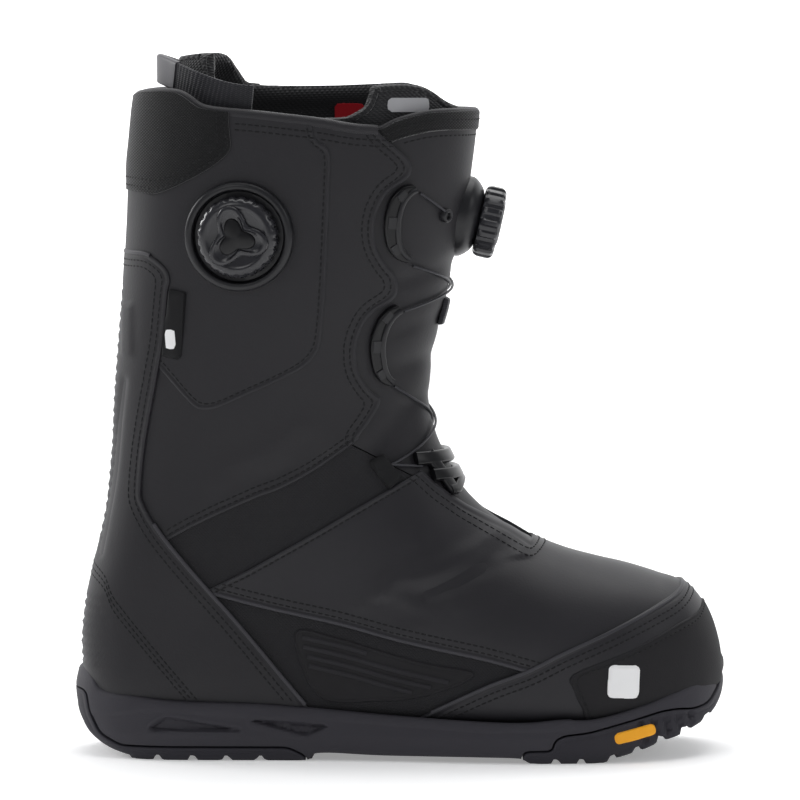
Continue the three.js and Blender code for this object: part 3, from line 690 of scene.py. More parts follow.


# rim is the lighter colour of a painted highlight along each piece's edge
finishes = {
    "leather": {"dark": (25, 24, 27), "light": (31, 30, 34), "rim": (47, 46, 50), "rough": 0.52, "bump": 0.25,
                "size": 1.1, "roll": 1.5},
    "vampLeather": {"dark": (32, 31, 34), "light": (38, 37, 41), "rim": (52, 52, 56), "rough": 0.5, "bump": 0.2,
                    "size": 1.1, "roll": 1.5},
    "panel": {"dark": (27, 26, 29), "light": (32, 31, 35), "rim": (45, 44, 48), "rough": 0.55, "bump": 0.3,
              "size": 1.0, "roll": 1.3},
    "rubberPatch": {"dark": (24, 23, 26), "light": (30, 29, 31), "rim": (41, 40, 44), "rough": 0.78, "bump": 0.3,
                    "size": 0.7, "roll": 1.0},
    "stretch": {"dark": (25, 25, 27), "light": (33, 32, 35), "rough": 0.9, "texture": "weave",
                "threads": (0.0016, 0.0016), "bump": 0.5, "depth": 0.0003, "sheen": 0.15},
    "collarCloth": {"dark": (10, 10, 12), "light": (15, 15, 16), "rim": (22, 22, 24), "rough": 0.95,
                    "texture": "weave", "threads": (0.0014, 0.0014), "bump": 0.6, "depth": 0.0004, "sheen": 0.2,
                    "roll": 1.2},
    "knit": {"dark": (23, 23, 25), "light": (36, 36, 38), "rough": 0.95, "texture": "weave",
             "threads": (0.0024, 0.0028), "bump": 0.8, "depth": 0.0006, "sheen": 0.35},
    "binding": {"dark": (27, 26, 29), "light": (36, 35, 39), "rough": 0.6, "texture": "weave",
                "threads": (0.0011, 0.0011), "bump": 0.4, "sheen": 0.15},
    "piping": {"dark": (48, 47, 51), "light": (60, 59, 64), "rough": 0.5, "bump": 0.2},
    "thread": {"dark": (14, 14, 16), "light": (22, 22, 24), "rough": 0.75, "bump": 0.1},
    "foam": {"dark": (46, 44, 50), "light": (55, 54, 60), "rim": (62, 61, 67), "rough": 0.66, "bump": 0.3,
             "size": 0.8},
    "rubber": {"dark": (37, 35, 41), "light": (45, 44, 51), "rim": (56, 55, 62), "rough": 0.7, "bump": 0.4,
               "size": 0.8, "roll": 1.2},
    "plastic": {"dark": (27, 27, 29), "light": (33, 33, 36), "rough": 0.33, "bump": 0.1, "size": 0.8},
    "knobGloss": {"dark": (30, 30, 33), "light": (40, 40, 44), "rough": 0.24, "bump": 0.05, "size": 0.8,
                  "coat": 0.35},
    "gloss": {"dark": (11, 11, 13), "light": (16, 16, 18), "rough": 0.32, "bump": 0.05, "specular": 0.25,
              "coat": 0.1},
    "webbing": {"dark": (30, 30, 33), "light": (43, 43, 49), "rough": 0.7, "texture": "weave",
                "threads": (0.0022, 0.0009), "bump": 0.8, "depth": 0.0005, "sheen": 0.2},
    "satin": {"dark": (59, 58, 62), "light": (74, 73, 78), "rough": 0.42, "bump": 0.2},
    "tagCloth": {"dark": (14, 14, 16), "light": (20, 20, 22), "rough": 0.8, "texture": "weave",
                 "threads": (0.0007, 0.0007), "bump": 0.4},
    "wire": {"dark": (46, 46, 50), "light": (58, 58, 62), "rough": 0.42, "metal": 0.2, "bump": 0.1},
    "white": {"dark": (235, 235, 235), "light": (250, 250, 250), "rough": 0.5, "bump": 0.05},
    "orange": {"dark": (240, 158, 20), "light": (252, 178, 32), "rough": 0.45, "bump": 0.05},
    "red": {"dark": (176, 20, 32), "light": (196, 30, 42), "rough": 0.6, "bump": 0.1},
    "grey": {"dark": (150, 150, 152), "light": (172, 172, 175), "rough": 0.6, "bump": 0.1},
}
looks = {name: makeMaterial(name, look) for name, look in finishes.items()}
print("materials made")


# the boot's outlines, side view, x and z
lines = {
    "quarterEdge": [(-10.6, 350), (-10.6, 300), (-10.6, 293.3), (-1.6, 285), (4.2, 279), (3.8, 272), (-6.5, 264),
                    (-11.6, 253), (-11.6, 241), (-6.5, 231), (-2.2, 225.6), (-2.6, 216), (-14, 208), (-20, 196),
                    (-20, 183), (-14.5, 173), (-9.4, 168), (-14, 158.5), (-20.2, 150.2)],
    "vampThroat": [(9.8, 134.3), (18, 126.6), (30.6, 117.6), (47.1, 108), (61, 100)],
    "collar": [(-160, 294), (-140, 297), (-126.8, 302.5), (-124.4, 307), (-119.8, 310.2), (-104.2, 310.7),
               (-97, 307.5), (-89.8, 303.2), (-65.8, 300.8), (-37.7, 297.6), (-10.6, 294), (60, 294)],
    "tongueTop": [(-30, 291), (-10.6, 293.6), (-1.6, 297.8), (10.4, 301), (22.4, 302.2), (60, 302)],
    "linerTop": [(-140, 322), (-112, 328.5), (-97, 330.8), (-86, 329.8), (-79, 322), (-71, 315.5), (-38, 314.5),
                 (-8, 315.5), (6, 316), (16, 313), (28, 306), (60, 300)],
    "linerDip": [(-93, 360), (-89, 316), (-82, 303.5), (-60, 301.5), (-30, 300), (-20, 302.5), (-13, 312),
                 (-8, 360)],
    "soleTop": [(156, 41.5), (149.4, 39.6), (140.2, 36.3), (129.4, 32), (113.2, 26.1), (91.5, 20.9), (75.5, 20.4),
                (51.5, 18.8), (2.7, 21), (-41.7, 24.6), (-65.9, 26.4), (-103, 27.4), (-124.1, 29.6), (-140, 31.6),
                (-145, 37.5), (-149, 40.4), (-156, 40.4)],
    "soleBottom": [(-156, 30), (-152.3, 23.4), (-150.5, 17.4), (-145.7, 10.8), (-136.1, 4.8), (-124.1, 1.2),
                   (-119.3, 0), (-47, 0), (-42, 2.6), (-33.3, 3.6), (-8, 2.6), (33, 2.6), (56, 2.2), (63, 0),
                   (92, 0), (102.4, 2.8), (113.2, 5.8), (121.3, 9), (129.4, 11.2), (137.5, 14.7), (144.5, 17.9),
                   (150, 22.8), (156, 31)],
    "quarterBottom": [(-170, 62), (-108.4, 102.7), (-70.6, 121.4), (-56.8, 126.7), (-40.6, 135.2), (-22.6, 147.6),
                      (-20.2, 150.2), (80, 150.2)],
    "vampTop": [(-170, 40), (-88.6, 80.1), (-70.6, 88.9), (-40.6, 105.7), (-10.5, 123.2), (9.8, 134.3), (10.3, 400),
                (200, 400)],
    "vampBottom": [(-170, 100), (-87.1, 77.7), (-57.3, 70.2), (-27.3, 63.6), (-3.2, 57), (18.8, 52.2), (39.5, 48),
                   (56.3, 43.5), (75, 38), (95, 30), (170, 5)],
    "cuffEdge": [(-40.5, 340), (-40.5, 294.5), (-34, 286.2), (-32.2, 281.3), (-32.6, 266.9), (-33.5, 244.8),
                 (-34.7, 220.6), (-36.4, 200.2), (-38.7, 190.6), (-47.7, 182.1), (-71.8, 170.7), (-83.8, 165.3),
                 (-89.8, 164.2), (-95.8, 166), (-107.8, 179.2), (-114, 186)],
    "collarPatch": [(-175, 265.6), (-126.4, 265.1), (-109.6, 264.5), (-80.2, 281.4), (-78.4, 297.5), (-78.4, 340)],
    "heelEdge": [(-175, 237), (-128.2, 236.8), (-117.4, 236.2), (-108.4, 230.2), (-105.7, 224.2), (-106.9, 218.2),
                 (-109, 196.6), (-111.4, 182.8), (-115.6, 160.1), (-118, 145.4), (-119.8, 126.2), (-118.6, 119),
                 (-110.2, 105.1), (-89.8, 81.1), (-75.3, 64.8), (-57.3, 43.2), (-41.7, 24), (-35, 14)],
    "heelSeam": [(-160, 100), (-139.6, 86.4), (-134.8, 76.3), (-125.8, 65.4), (-94, 27.6), (-84, 14)],
    "toeEdge": [(0, 14), (9.4, 21), (39.5, 36), (58.7, 43.5), (75.3, 51.8), (96.9, 61), (118.6, 70.8),
                (129.4, 76.2), (137, 84)],
    "bumper": [(79.9, 42), (80.5, 34), (84, 26.5), (90, 18), (120, 12), (170, 12), (170, 84), (150, 80),
               (142.9, 72.9), (139.1, 67), (129.4, 62.7), (105.6, 51.8)],
    "crease": [(2, 75.5), (14, 79), (26, 84), (36, 89.5), (46, 93.5)],
}
aboveToe = [(75, 112), (75, 350), (-10.6, 350)]
throatOutline = np.vstack([smoothLine(lines["quarterEdge"][1:], 5), lines["vampThroat"], aboveToe])
inThroat = outlineField(throatOutline)
underCollar = belowField(smoothLine(lines["collar"], 4))
overSole = aboveField(lines["soleTop"], -6)
overQuarterBottom = aboveField(smoothLine(lines["quarterBottom"][:-1], 4).tolist() + [(80, 150.2)])
underVampTop = belowField(lines["vampTop"])
overVampBottom = aboveField(smoothLine(lines["vampBottom"], 3))
inHeel = outlineField(np.vstack([smoothLine(lines["heelEdge"], 4), [(-35, -5), (-175, -5)]]))
inCuff = outlineField(np.vstack([smoothLine(lines["cuffEdge"], 4), [(-175, 186), (-175, 340)]]))
inCollarPatch = outlineField(np.vstack([smoothLine(lines["collarPatch"], 4), [(-175, 340)]]))
inToe = outlineField(np.vstack([smoothLine(lines["toeEdge"], 4), [(175, 90), (175, -5), (0, -5)]]))
inBumper = outlineField(smoothLine(lines["bumper"], 4, True))

skin = skinOf(formGrid(sectionRows + shellTopRows, 360, 116))
core = skinOf(formGrid(sectionRows + shellTopRows, 190, 64))
linerGrid = skinOf(formGrid(sectionRows + linerTopRows, 230, 76))
tree = BVHTree.FromPolygons([tuple(p) for p in core[0][:, :3]], core[1].tolist())
print("form made", len(skin[0]), "points")


def onSkin(x, z, side):
    # the place on the form's skin seen at x and z from one side
    hit, normal, _, _ = tree.ray_cast(Vector((x, side * 150, z)), Vector((0, -side, 0)))
    if hit is None:
        hit, normal, _, _ = tree.find_nearest(Vector((x, side * 6, z)))
    normal = np.array(normal)
    if normal @ (np.array(hit) - (x - 30, 0, z)) < 0:
        normal = -normal
    return np.array(hit), normal


def bell(distance, width):
    # 1 on the line, falling softly to 0
    return np.exp(-(distance / width) ** 2)


def softNoise(data, size, seed):
    # slow waves over the skin, between about -1 and 1
    random = np.random.default_rng(seed)
    total = np.zeros(len(data))
    for _ in range(7):
        way = random.normal(size=3)
        way /= np.linalg.norm(way)
        length = size * random.uniform(0.7, 1.5)
        total += np.sin(data[:, :3] @ way * 2 * math.pi / length + random.uniform(0, 6.3))
    return total / 4


def fold(data, line, depth, width, ridge=0.6):
    # a soft trough along a side-view line, with a ridge above it, fading at both ends
    line = smoothLine(line, 5)
    places = data[:, [0, 2]]
    distance = lineDistance(places, line)
    signed = distance * np.sign(places[:, 1] - np.interp(places[:, 0], line[:, 0], line[:, 1]))
    ends = np.minimum(np.linalg.norm(places - line[0], axis=1), np.linalg.norm(places - line[-1], axis=1))
    fade = np.clip(ends / (2.5 * width), 0.15, 1)
    shape = -depth * bell(signed, width) + ridge * depth * bell(signed - 2.1 * width, 1.3 * width)
    return shape * fade


# shell
# how far each layer stands off the form, in millimetres
shellLook = {"wall": 2.6, "quarter": 1.0, "vamp": 1.0, "cuff": 1.55, "collarPatch": 2.3, "heel": 2.1, "toe": 1.9,
             "bumper": 2.7, "throatOverlap": 4.0}
batches = {name: Batch() for name in ("stitches", "piping", "binding", "linerBinding", "guardRibs")}

sheetPiece("shellBody", core, [underCollar, outsideField(inThroat, shellLook["throatOverlap"]), overSole], 0.0,
           -shellLook["wall"],
           looks["stretch"], ["upper"])


def quarterRelief(data):
    return 0.25 * softNoise(data, 60, 3) + fold(data, [(-72, 128), (-58, 134), (-44, 144)], 0.5, 5)


def collarRelief(data):
    return 0.6 * bell(inCollarPatch(data) + 12, 9) + quarterRelief(data)


def vampRelief(data):
    relief = 0.2 * softNoise(data, 50, 5)
    relief += fold(data, lines["crease"], 1.5, 4.2, 0.75)
    relief += fold(data, [(-8, 70), (4, 68), (18, 70)], 0.5, 4, 0.5)
    relief += fold(data, [(20, 100), (34, 101), (50, 96)], 0.5, 5, 0.4)
    return relief


quarter = sheetPiece("quarterPanel", skin, [underCollar, outsideField(inThroat), overQuarterBottom, overSole],
                     shellLook["quarter"], 0.05,
                     looks["leather"], relief=quarterRelief, ignore=(0, 3))
vamp = sheetPiece("vampPanel", skin, [underVampTop, outsideField(inThroat), overVampBottom, overSole],
                  shellLook["vamp"], 0.05,
                  looks["vampLeather"], relief=vampRelief, ignore=(3,))
cuff = sheetPiece("cuffPanel", skin, [inCuff, underCollar, outsideField(inHeel, -6)], shellLook["cuff"], 0.9,
                  looks["panel"], relief=quarterRelief, ignore=(1, 2))
patch = sheetPiece("collarPatch", skin, [inCollarPatch, underCollar], shellLook["collarPatch"], 1.4,
                   looks["collarCloth"], relief=collarRelief, ignore=(1,))


heelLook = {
    "groove": [(-127.6, 176), (-130, 156.2), (-132.4, 132.2), (-136.1, 111.1), (-139.4, 94)],
    "grooveDepth": 1.3,
    "pad": {"x": -125.5, "z": 200, "halfWidth": 2.6, "halfHeight": 12, "rise": 0.8},
    "ribs": [  # height, pitch, lowest, highest, half width behind and softness of the ribs across the back
        (0.45, 4.6, 40, 77, 30, 3, 8),
        (0.35, 5.0, 98, 222, 13, 4, 4),
    ],
}


def heelRelief(data):
    x, z = data[:, 0], data[:, 2]
    behind = np.abs(data[:, 6] - 0.5) * 380
    pad = heelLook["pad"]
    groove = lineDistance(data[:, [0, 2]], smoothLine(heelLook["groove"], 4))
    relief = -heelLook["grooveDepth"] * bell(groove, 1.8)
    boxed = np.maximum(np.abs(x - pad["x"]) - pad["halfWidth"], np.abs(z - pad["z"]) - pad["halfHeight"])
    relief += pad["rise"] * np.clip(0.5 - boxed / 1.6, 0, 1)
    for height, pitch, low, high, half, softEnds, softSides in heelLook["ribs"]:
        inRows = np.clip((z - low) / softEnds, 0, 1) * np.clip((high - z) / softEnds, 0, 1)
        relief += height * np.sin(z * 2 * math.pi / pitch) * inRows * np.clip((half - behind) / softSides, 0, 1)
    return relief


heel = sheetPiece("heelPanel", skin, [inHeel, overSole], shellLook["heel"], 0.9, looks["panel"],
                  ["heel_counter"],
                  relief=heelRelief, ignore=(1,))
toe = sheetPiece("toeFoxing", skin, [inToe, overSole], shellLook["toe"], 0.3, looks["vampLeather"],
                 ["toe_cap"],
                 relief=lambda data: 0.15 * softNoise(data, 40, 8), ignore=(1,))
bumper = sheetPiece("toeBumper", skin, [inBumper, overSole], shellLook["bumper"], 1.6, looks["rubberPatch"],
                    ignore=(1,), roll=1.6)
print("shell made")

# guard over the side, ribbed along its length
guardLook = {
    "outline": [(-49, 60), (-30, 58), (-6, 51), (14, 46), (34, 42.5), (28, 36.5), (8, 30), (-12, 28), (-38, 30)],
    "lift": 0.75, "ribs": 5, "firstRib": 5.5, "ribStep": 4.2, "ribRadius": 1.15, "margin": 3.0,
}
guardField = outlineField(smoothLine(guardLook["outline"], 4, True))
guard = sheetPiece("sideGuard", skin, [guardField], guardLook["lift"], 0.02, looks["rubberPatch"],
                   roll=1.4)
for step in range(guardLook["ribs"]):
    below = -guardLook["firstRib"] - guardLook["ribStep"] * step
    runs = seamRuns(guard, overVampBottom, below, lambda run: guardField(run) < -guardLook["margin"])
    addTube(batches["guardRibs"], runs, guardLook["ribRadius"], 0.1, 0.6, 8)

# tongue and the band along its top
tongueTop = belowField(smoothLine(lines["tongueTop"], 4))


tongueLook = {"outside": -0.5, "inside": -3.1, "underEdge": 3.4,
              "creases": [(226, 0.9), (203, 0.7), (186, 0.8), (167, 0.6)],
              "bandLift": 0.5, "bandWidth": 9.2}


def tongueRelief(data):
    # crosswise creases, fading towards the quarters
    relief = 0.35 * softNoise(data, 45, 11)
    front = np.clip((data[:, 0] + 8) / 12, 0, 1)
    for height, depth in tongueLook["creases"]:
        relief -= depth * bell(data[:, 2] - height - 0.25 * (data[:, 0] - 10), 4.5) * front
    return relief


tongue = sheetPiece("tongueBody", skin, [lambda data: inThroat(data) - tongueLook["underEdge"], tongueTop],
                    tongueLook["outside"], tongueLook["inside"], looks["leather"], ["tongue"],
                    relief=tongueRelief, ignore=(0, 1))
bandFields = [lambda data: inThroat(data) + 0.2, tongueTop, outsideField(tongueTop, -tongueLook["bandWidth"])]
band = sheetPiece("cuffBand", skin, bandFields, tongueLook["bandLift"], -0.6, looks["collarCloth"],
                  roll=1.0)

# inner boot
linerLook = {"outside": -2.9, "inside": -10.9, "rim": 4.5}
underLinerTop = belowField(smoothLine(lines["linerTop"], 4))
dipOutline = outlineField(smoothLine(lines["linerDip"], 4))
outOfDip = lambda data: np.where(data[:, 1] < 0, -dipOutline(data), -20.0)
data, faces = trimAll(*linerGrid, [underLinerTop, outOfDip])
edge = np.minimum(np.abs(underLinerTop(data)), np.abs(outOfDip(data)))
puff = np.sqrt(1 - (1 - np.clip(edge / linerLook["rim"], 0, 1)) ** 2)
middleLift = (linerLook["outside"] + linerLook["inside"]) / 2
halfWall = (linerLook["outside"] - linerLook["inside"]) / 2
outer = data[:, :3] + data[:, 3:6] * (middleLift + halfWall * puff)[:, None]
quilt = 0.35 * np.sin(data[:, 2] * 2 * math.pi / 9) * np.clip((data[:, 2] - 150) / 20, 0, 1)
inner = data[:, :3] + data[:, 3:6] * (middleLift - halfWall * puff - quilt * puff)[:, None]
points, made = closeSheet(outer, inner, faces)
flat = np.column_stack([data[:, 6] * 380, data[:, 7] * 620])
liner = meshObject("innerBoot", points, made, looks["knit"], np.vstack([flat, flat]), np.concatenate([edge, edge]))
join(liner, ["liner"])
innerMade = {"data": data, "faces": faces}
for field, other in ((underLinerTop, outOfDip), (outOfDip, underLinerTop)):
    runs = seamRuns(innerMade, field, 2.5, lambda run, other=other: other(run) < -3.2)
    addTube(batches["linerBinding"], [run for run in runs if len(run) > 12], 1.4, middleLift + halfWall * 0.95, 0.7)
print("tongue and inner boot made")


# sole
soleLook = {
    "plan": [(153.2, 9), (150.6, -9), (144.8, -24), (135, -36.5), (120, -46.5), (101, -53.5), (80, -57),
             (56, -57.5), (28, -54.6), (0, -50), (-30, -46.8), (-60, -45.2), (-90, -44.6), (-112, -43.2),
             (-130, -37.5), (-143.5, -26.5), (-150.6, -13.5), (-152.9, 0), (-150.6, 13.5), (-143.5, 26),
             (-130, 36.5), (-112, 42), (-90, 42.4), (-60, 41.4), (-30, 41.6), (0, 44.6), (28, 50), (56, 55),
             (80, 57.6), (101, 57.4), (120, 53.8), (135, 46.8), (144.8, 37), (150.6, 25)],
    "drawnIn": [(-8, 5), (4, 1.8), (12, 0.2), (22, 0), (32, 0.6), (48, 2.4)],
    "heelPod": [(-165, 31), (-147, 30.5), (-145.2, 20.6), (-140.3, 11.2), (-130.5, 6.4), (-52, 6.4), (-43.5, 2),
                (-43, -9), (-165, -9)],
    "toePod": [(56, -9), (57, 5.8), (70.5, 6.2), (71.8, 11.2), (76, 13.4), (87.5, 14.6), (107.8, 19.8),
               (121.3, 23.4), (129.4, 24.2), (137.5, 23.4), (144.5, 25), (149.4, 31.2), (151, 36), (165, 38),
               (165, -9)],
    "slots": [[(-118, 14.4), (-109.6, 20.4), (-73, 14.4)], [(-69.9, 19.2), (-33.3, 16.8), (-43.5, 12)]],
    "slotDepth": 2.4, "lugDepth": 3.0, "lugWidth": 4.0, "podLift": 0.5, "podGap": 0.45,
    "lugs": [-113, -97, -81, -65, 72, 84, 98.5, 110, 121.5, 133, 143.5],
    "flutes": [113.5, 119.5, 125.5, 131.5, 137.5],
}
plan = smoothLine(soleLook["plan"], 12, True)
closedPlan = np.vstack([np.column_stack([plan, np.zeros(len(plan))]), [plan[0][0], plan[0][1], 0]])
plan = evenPath(closedPlan, 1.35)[:-1, :2]
ahead = np.roll(plan, -2, axis=0) - np.roll(plan, 2, axis=0)
outwards = np.column_stack([ahead[:, 1], -ahead[:, 0]]) / np.linalg.norm(ahead, axis=1)[:, None]
if np.sum(outwards * plan) < 0:
    outwards = -outwards
topLine = smoothLine(lines["soleTop"], 6)[::-1]
bottomLine = smoothLine(lines["soleBottom"], 6)
topAt = lambda x: np.interp(x, topLine[:, 0], topLine[:, 1])
bottomAt = lambda x: np.interp(x, bottomLine[:, 0], bottomLine[:, 1])
drawnIn = lambda z: np.interp(z, *np.array(soleLook["drawnIn"], float).T)
middleLine = lambda x: np.interp(x, [-150, -90, 0, 60, 110, 150], [0, -1, -2.5, -1, 2, 9])


def lugMask(x):
    # 1 in the gaps between the lugs
    mask = np.zeros(len(x))
    for place in soleLook["lugs"]:
        mask = np.maximum(mask, np.clip(0.5 - (np.abs(x - place) - soleLook["lugWidth"] / 2) / 0.9, 0, 1))
    return mask


rings = []
for drop, inset in ((6.0, 8.5), (1.4, 5.0), (0.0, 2.6), (0.3, 1.3), (1.2, 0.4), (2.2, 0.05)):
    z = topAt(plan[:, 0]) - drop
    rings.append(np.column_stack([plan - outwards * (inset + drawnIn(z))[:, None], z]))
for t in np.linspace(0, 1, 24):
    high, low = topAt(plan[:, 0]) - 3.2, bottomAt(plan[:, 0]) + 2.6
    z = high + (low - high) * t
    crown = 0.5 * np.sin(t * math.pi)
    rings.append(np.column_stack([plan - outwards * (drawnIn(z) - crown)[:, None], z]))
for rise, inset in ((1.4, 0.3), (0.5, 0.9), (0.05, 2.0)):
    z = bottomAt(plan[:, 0]) + rise
    rings.append(np.column_stack([plan - outwards * (inset + drawnIn(z))[:, None], z]))
rim = plan - outwards * (2.0 + drawnIn(bottomAt(plan[:, 0])))[:, None]
spineX = 0.94 * np.clip(plan[:, 0], -142, 142)
spine = np.column_stack([spineX, middleLine(spineX)])
for t in np.linspace(0, 1, 20)[1:]:
    flat = rim + (spine - rim) * t
    rings.append(np.column_stack([flat, bottomAt(flat[:, 0])]))
rings = np.array(rings)
for ring in rings:
    below = ring[:, 2] - bottomAt(ring[:, 0])
    offMiddle = np.abs(ring[:, 1] - middleLine(ring[:, 0]))
    middle = np.clip(0.5 - (offMiddle - 2.2) / 0.9, 0, 1) * (np.abs(ring[:, 0]) > 40)
    deep = np.maximum(lugMask(ring[:, 0]), middle) * soleLook["lugDepth"]
    ring[:, 2] = np.where(below < deep, bottomAt(ring[:, 0]) + deep, ring[:, 2])
soleSkin = skinOf(rings)
inHeelPod = outlineField(roundCorners(soleLook["heelPod"], 3))
inToePod = outlineField(roundCorners(soleLook["toePod"], 3))
slotFields = [outlineField(roundCorners(slot, 3.2)) for slot in soleLook["slots"]]


def midsoleRelief(data):
    slots = np.minimum(*[field(data) for field in slotFields])
    outside = data[:, 2] > bottomAt(data[:, 0]) + 3
    relief = (-soleLook["slotDepth"] * np.clip(0.5 - slots / 0.9, 0, 1) + 0.35 * bell(slots - 1.7, 0.9)) * outside
    ribs = (np.sin(data[:, 0] * 2 * math.pi / 4.2) > 0.1) & (slots < -0.9) & (data[:, 0] > -62)
    relief += 1.1 * ribs * outside
    ledge = data[:, 2] - np.interp(data[:, 0], [-150, -120, -40, 40, 75], [18, 23.0, 19.5, 14.5, 15.5])
    relief += 0.45 * np.clip(ledge / 0.8, 0, 1) * outside * (data[:, 0] < 80)
    return relief


def toePodRelief(data):
    relief = np.zeros(len(data))
    for place in soleLook["flutes"]:
        relief -= 1.5 * np.clip(0.5 - (np.abs(data[:, 0] + 0.25 * (data[:, 2] - 12) - place) - 1.2) / 0.9, 0, 1)
    underTop = np.clip((22.5 - data[:, 2] + 0.12 * (data[:, 0] - 125)) / 2, 0, 1)
    overBottom = np.clip((data[:, 2] - bottomAt(data[:, 0]) - 0.5) / 1.5, 0, 1)
    return relief * underTop * overBottom


gap = soleLook["podGap"]
sheetPiece("midsoleBody", soleSkin, [outsideField(inHeelPod, gap), outsideField(inToePod, gap)], 0.0, -4.5,
           looks["foam"],
           ["midsole"], relief=midsoleRelief)
sheetPiece("heelPodRubber", soleSkin, [lambda data: inHeelPod(data) + gap], soleLook["podLift"], -4.0,
           looks["rubber"],
           ["outsole_heel"])
sheetPiece("toePodRubber", soleSkin, [lambda data: inToePod(data) + gap], soleLook["podLift"], -4.0,
           looks["rubber"],
           ["outsole_forefoot"], relief=toePodRelief)


def turnedPatch(centre, width, height, degrees, radius):
    # a rectangle with round corners, turned in side view
    turn = math.radians(degrees)
    corners = [(a * width / 2, b * height / 2) for a, b in ((-1, -1), (1, -1), (1, 1), (-1, 1))]
    cosine, sine = math.cos(turn), math.sin(turn)
    corners = [(centre[0] + a * cosine - b * sine, centre[1] + a * sine + b * cosine) for a, b in corners]
    return roundCorners(corners, radius, 6)


outerOnly = lambda data: data[:, 1]
mark = turnedPatch((109, 13.6), 19.5, 5.4, 13, 2.4)
sheetPiece("soleMark", soleSkin, [outlineField(mark), outerOnly], 1.2, 0.1, looks["orange"],
           ignore=(1,), roll=0.6)
badge = turnedPatch((103, 38), 14.6, 15.2, -3, 3.0)
sheetPiece("toeBadge", skin, [outlineField(badge), outerOnly], 3.35, 2.2, looks["white"], ignore=(1,),
           roll=0.5)
print("sole made")


# dials
def skinAt(share, height, side, lift=0.0):
    # the form's skin at a height, a share of the way round from the shin
    at = min(share * 116, 115.999)
    first = int(at)
    columns = [(232 - n) % 232 if side > 0 else n for n in (first, first + 1)]
    grid = skin[0].reshape(360, 232, 8)[120:]
    rows = [[np.interp(height, grid[:, c, 2], grid[:, c, k]) for k in range(6)] for c in columns]
    row = np.array(rows[0]) * (1 - at + first) + np.array(rows[1]) * (at - first)
    normal = row[3:6] / np.linalg.norm(row[3:6])
    return row[:3] + normal * lift, normal


def shareAt(x, height):
    # the share of the way round at which the skin has this x
    shares = np.linspace(0, 0.6, 240)
    return shares[int(np.argmin([abs(skinAt(share, height, -1)[0][0] - x) for share in shares]))]


def turned(profile, sides, place, axis, wave=None):
    # a disc drawn up ring by ring to each radius and height, waved, and stood on its axis
    bpy.ops.object.select_all(action="DESELECT")
    bpy.ops.mesh.primitive_circle_add(vertices=sides, radius=profile[0][0], fill_type="NGON", location=(0, 0, 0))
    shape = bpy.context.object
    bpy.ops.object.mode_set(mode="EDIT")
    bpy.ops.mesh.select_all(action="SELECT")
    bpy.ops.transform.translate(value=(0, 0, profile[0][1]))
    for before, after in zip(profile[:-1], profile[1:]):
        bpy.ops.mesh.extrude_region_move(TRANSFORM_OT_translate={"value": (0, 0, after[1] - before[1])})
        grow = after[0] / before[0]
        bpy.ops.transform.resize(value=(grow, grow, 1), center_override=(0, 0, after[1]))
    bpy.ops.mesh.select_all(action="SELECT")
    bpy.ops.mesh.normals_make_consistent(inside=False)
    bpy.ops.object.mode_set(mode="OBJECT")
    points = np.array([vertex.co[:] for vertex in shape.data.vertices])
    faces = [list(face.vertices) for face in shape.data.polygons]
    bpy.data.objects.remove(shape)
    if wave is not None:
        reach = np.hypot(points[:, 0], points[:, 1])
        rings = np.array(profile)
        nearest = np.argmin(np.hypot(reach[:, None] - rings[:, 0], points[:, 2, None] - rings[:, 1]), axis=1)
        points[:, :2] *= (1 + rings[nearest, 2] * wave(np.arctan2(points[:, 1], points[:, 0])))[:, None]
    axis = Vector(axis).normalized()
    side = Vector((0, 0, 1)).cross(axis).normalized()
    basis = np.array([side, axis.cross(side), axis])
    return points @ basis + np.array(place), faces


def roundedSteps(profile, corner=0.5):
    # each corner of a radius and height profile cut by two points
    out = []
    for n, (radius, height, wavy) in enumerate(profile):
        if n in (0, len(profile) - 1):
            out.append((radius, height, wavy))
            continue
        for other in (profile[n - 1], profile[n + 1]):
            away = np.array(other[:2]) - (radius, height)
            long = np.linalg.norm(away)
            step = min(corner, 0.4 * long) / max(long, 1e-6)
            out.append((radius + away[0] * step, height + away[1] * step, wavy))
    return out


# profiles are radius, height and waviness, in millimetres off the skin
sideLook = {
    "x": -73.9, "z": 244.7, "reach": 19, "lobes": 3, "notches": 24,
    "ring": [(21.5, -6, 0), (25.4, -6, 0), (25.4, 3.6, 0), (24.4, 5.0, 0), (22.6, 5.4, 0), (21.4, 4.6, 0),
             (21.2, 1.4, 0), (2, 1.4, 0)],
    "grip": [(16.8, 1.8, 0), (18.6, 2.4, 0.03), (19.0, 4.0, 0.035), (18.9, 7.0, 0.035), (18.2, 9.0, 0.02),
             (16.6, 10.6, 0), (14.6, 11.4, 0), (13.2, 10.6, 0), (3, 10.2, 0)],
    "star": [(12.2, 9.4, 0.3), (12.0, 11.8, 0.3), (11.0, 12.6, 0.32), (9.4, 12.6, 0.36), (8.8, 11.6, 0.38),
             (2, 11.4, 0)],
    "hub": [(7.4, 10.8, 0.3), (7.2, 12.0, 0.3), (6.2, 12.5, 0.28), (1, 12.7, 0)],
}
reach = sideLook["reach"]
spots = [onSkin(sideLook["x"] + a, sideLook["z"] + b, -1)[0]
         for a, b in ((0, 0), (reach, 0), (-reach, 0), (0, reach), (0, -reach))]
axis = np.cross(spots[1] - spots[2], spots[3] - spots[4])
axis = axis / np.linalg.norm(axis) * (-1 if axis[1] > 0 else 1)
place = spots[0]
dialBase = Batch()
dialBase.add(*turned(roundedSteps(sideLook["ring"], 0.6), 96, place, axis))
dialBase.build("sideDialRing", looks["plastic"], "dial_plastic", ["side_dial_base"])


def notches(turn):
    return -np.clip(np.cos(turn * sideLook["notches"]) * 2.5, 0, 1)


def petals(turn):
    return np.cos(turn * sideLook["lobes"] + 0.7)


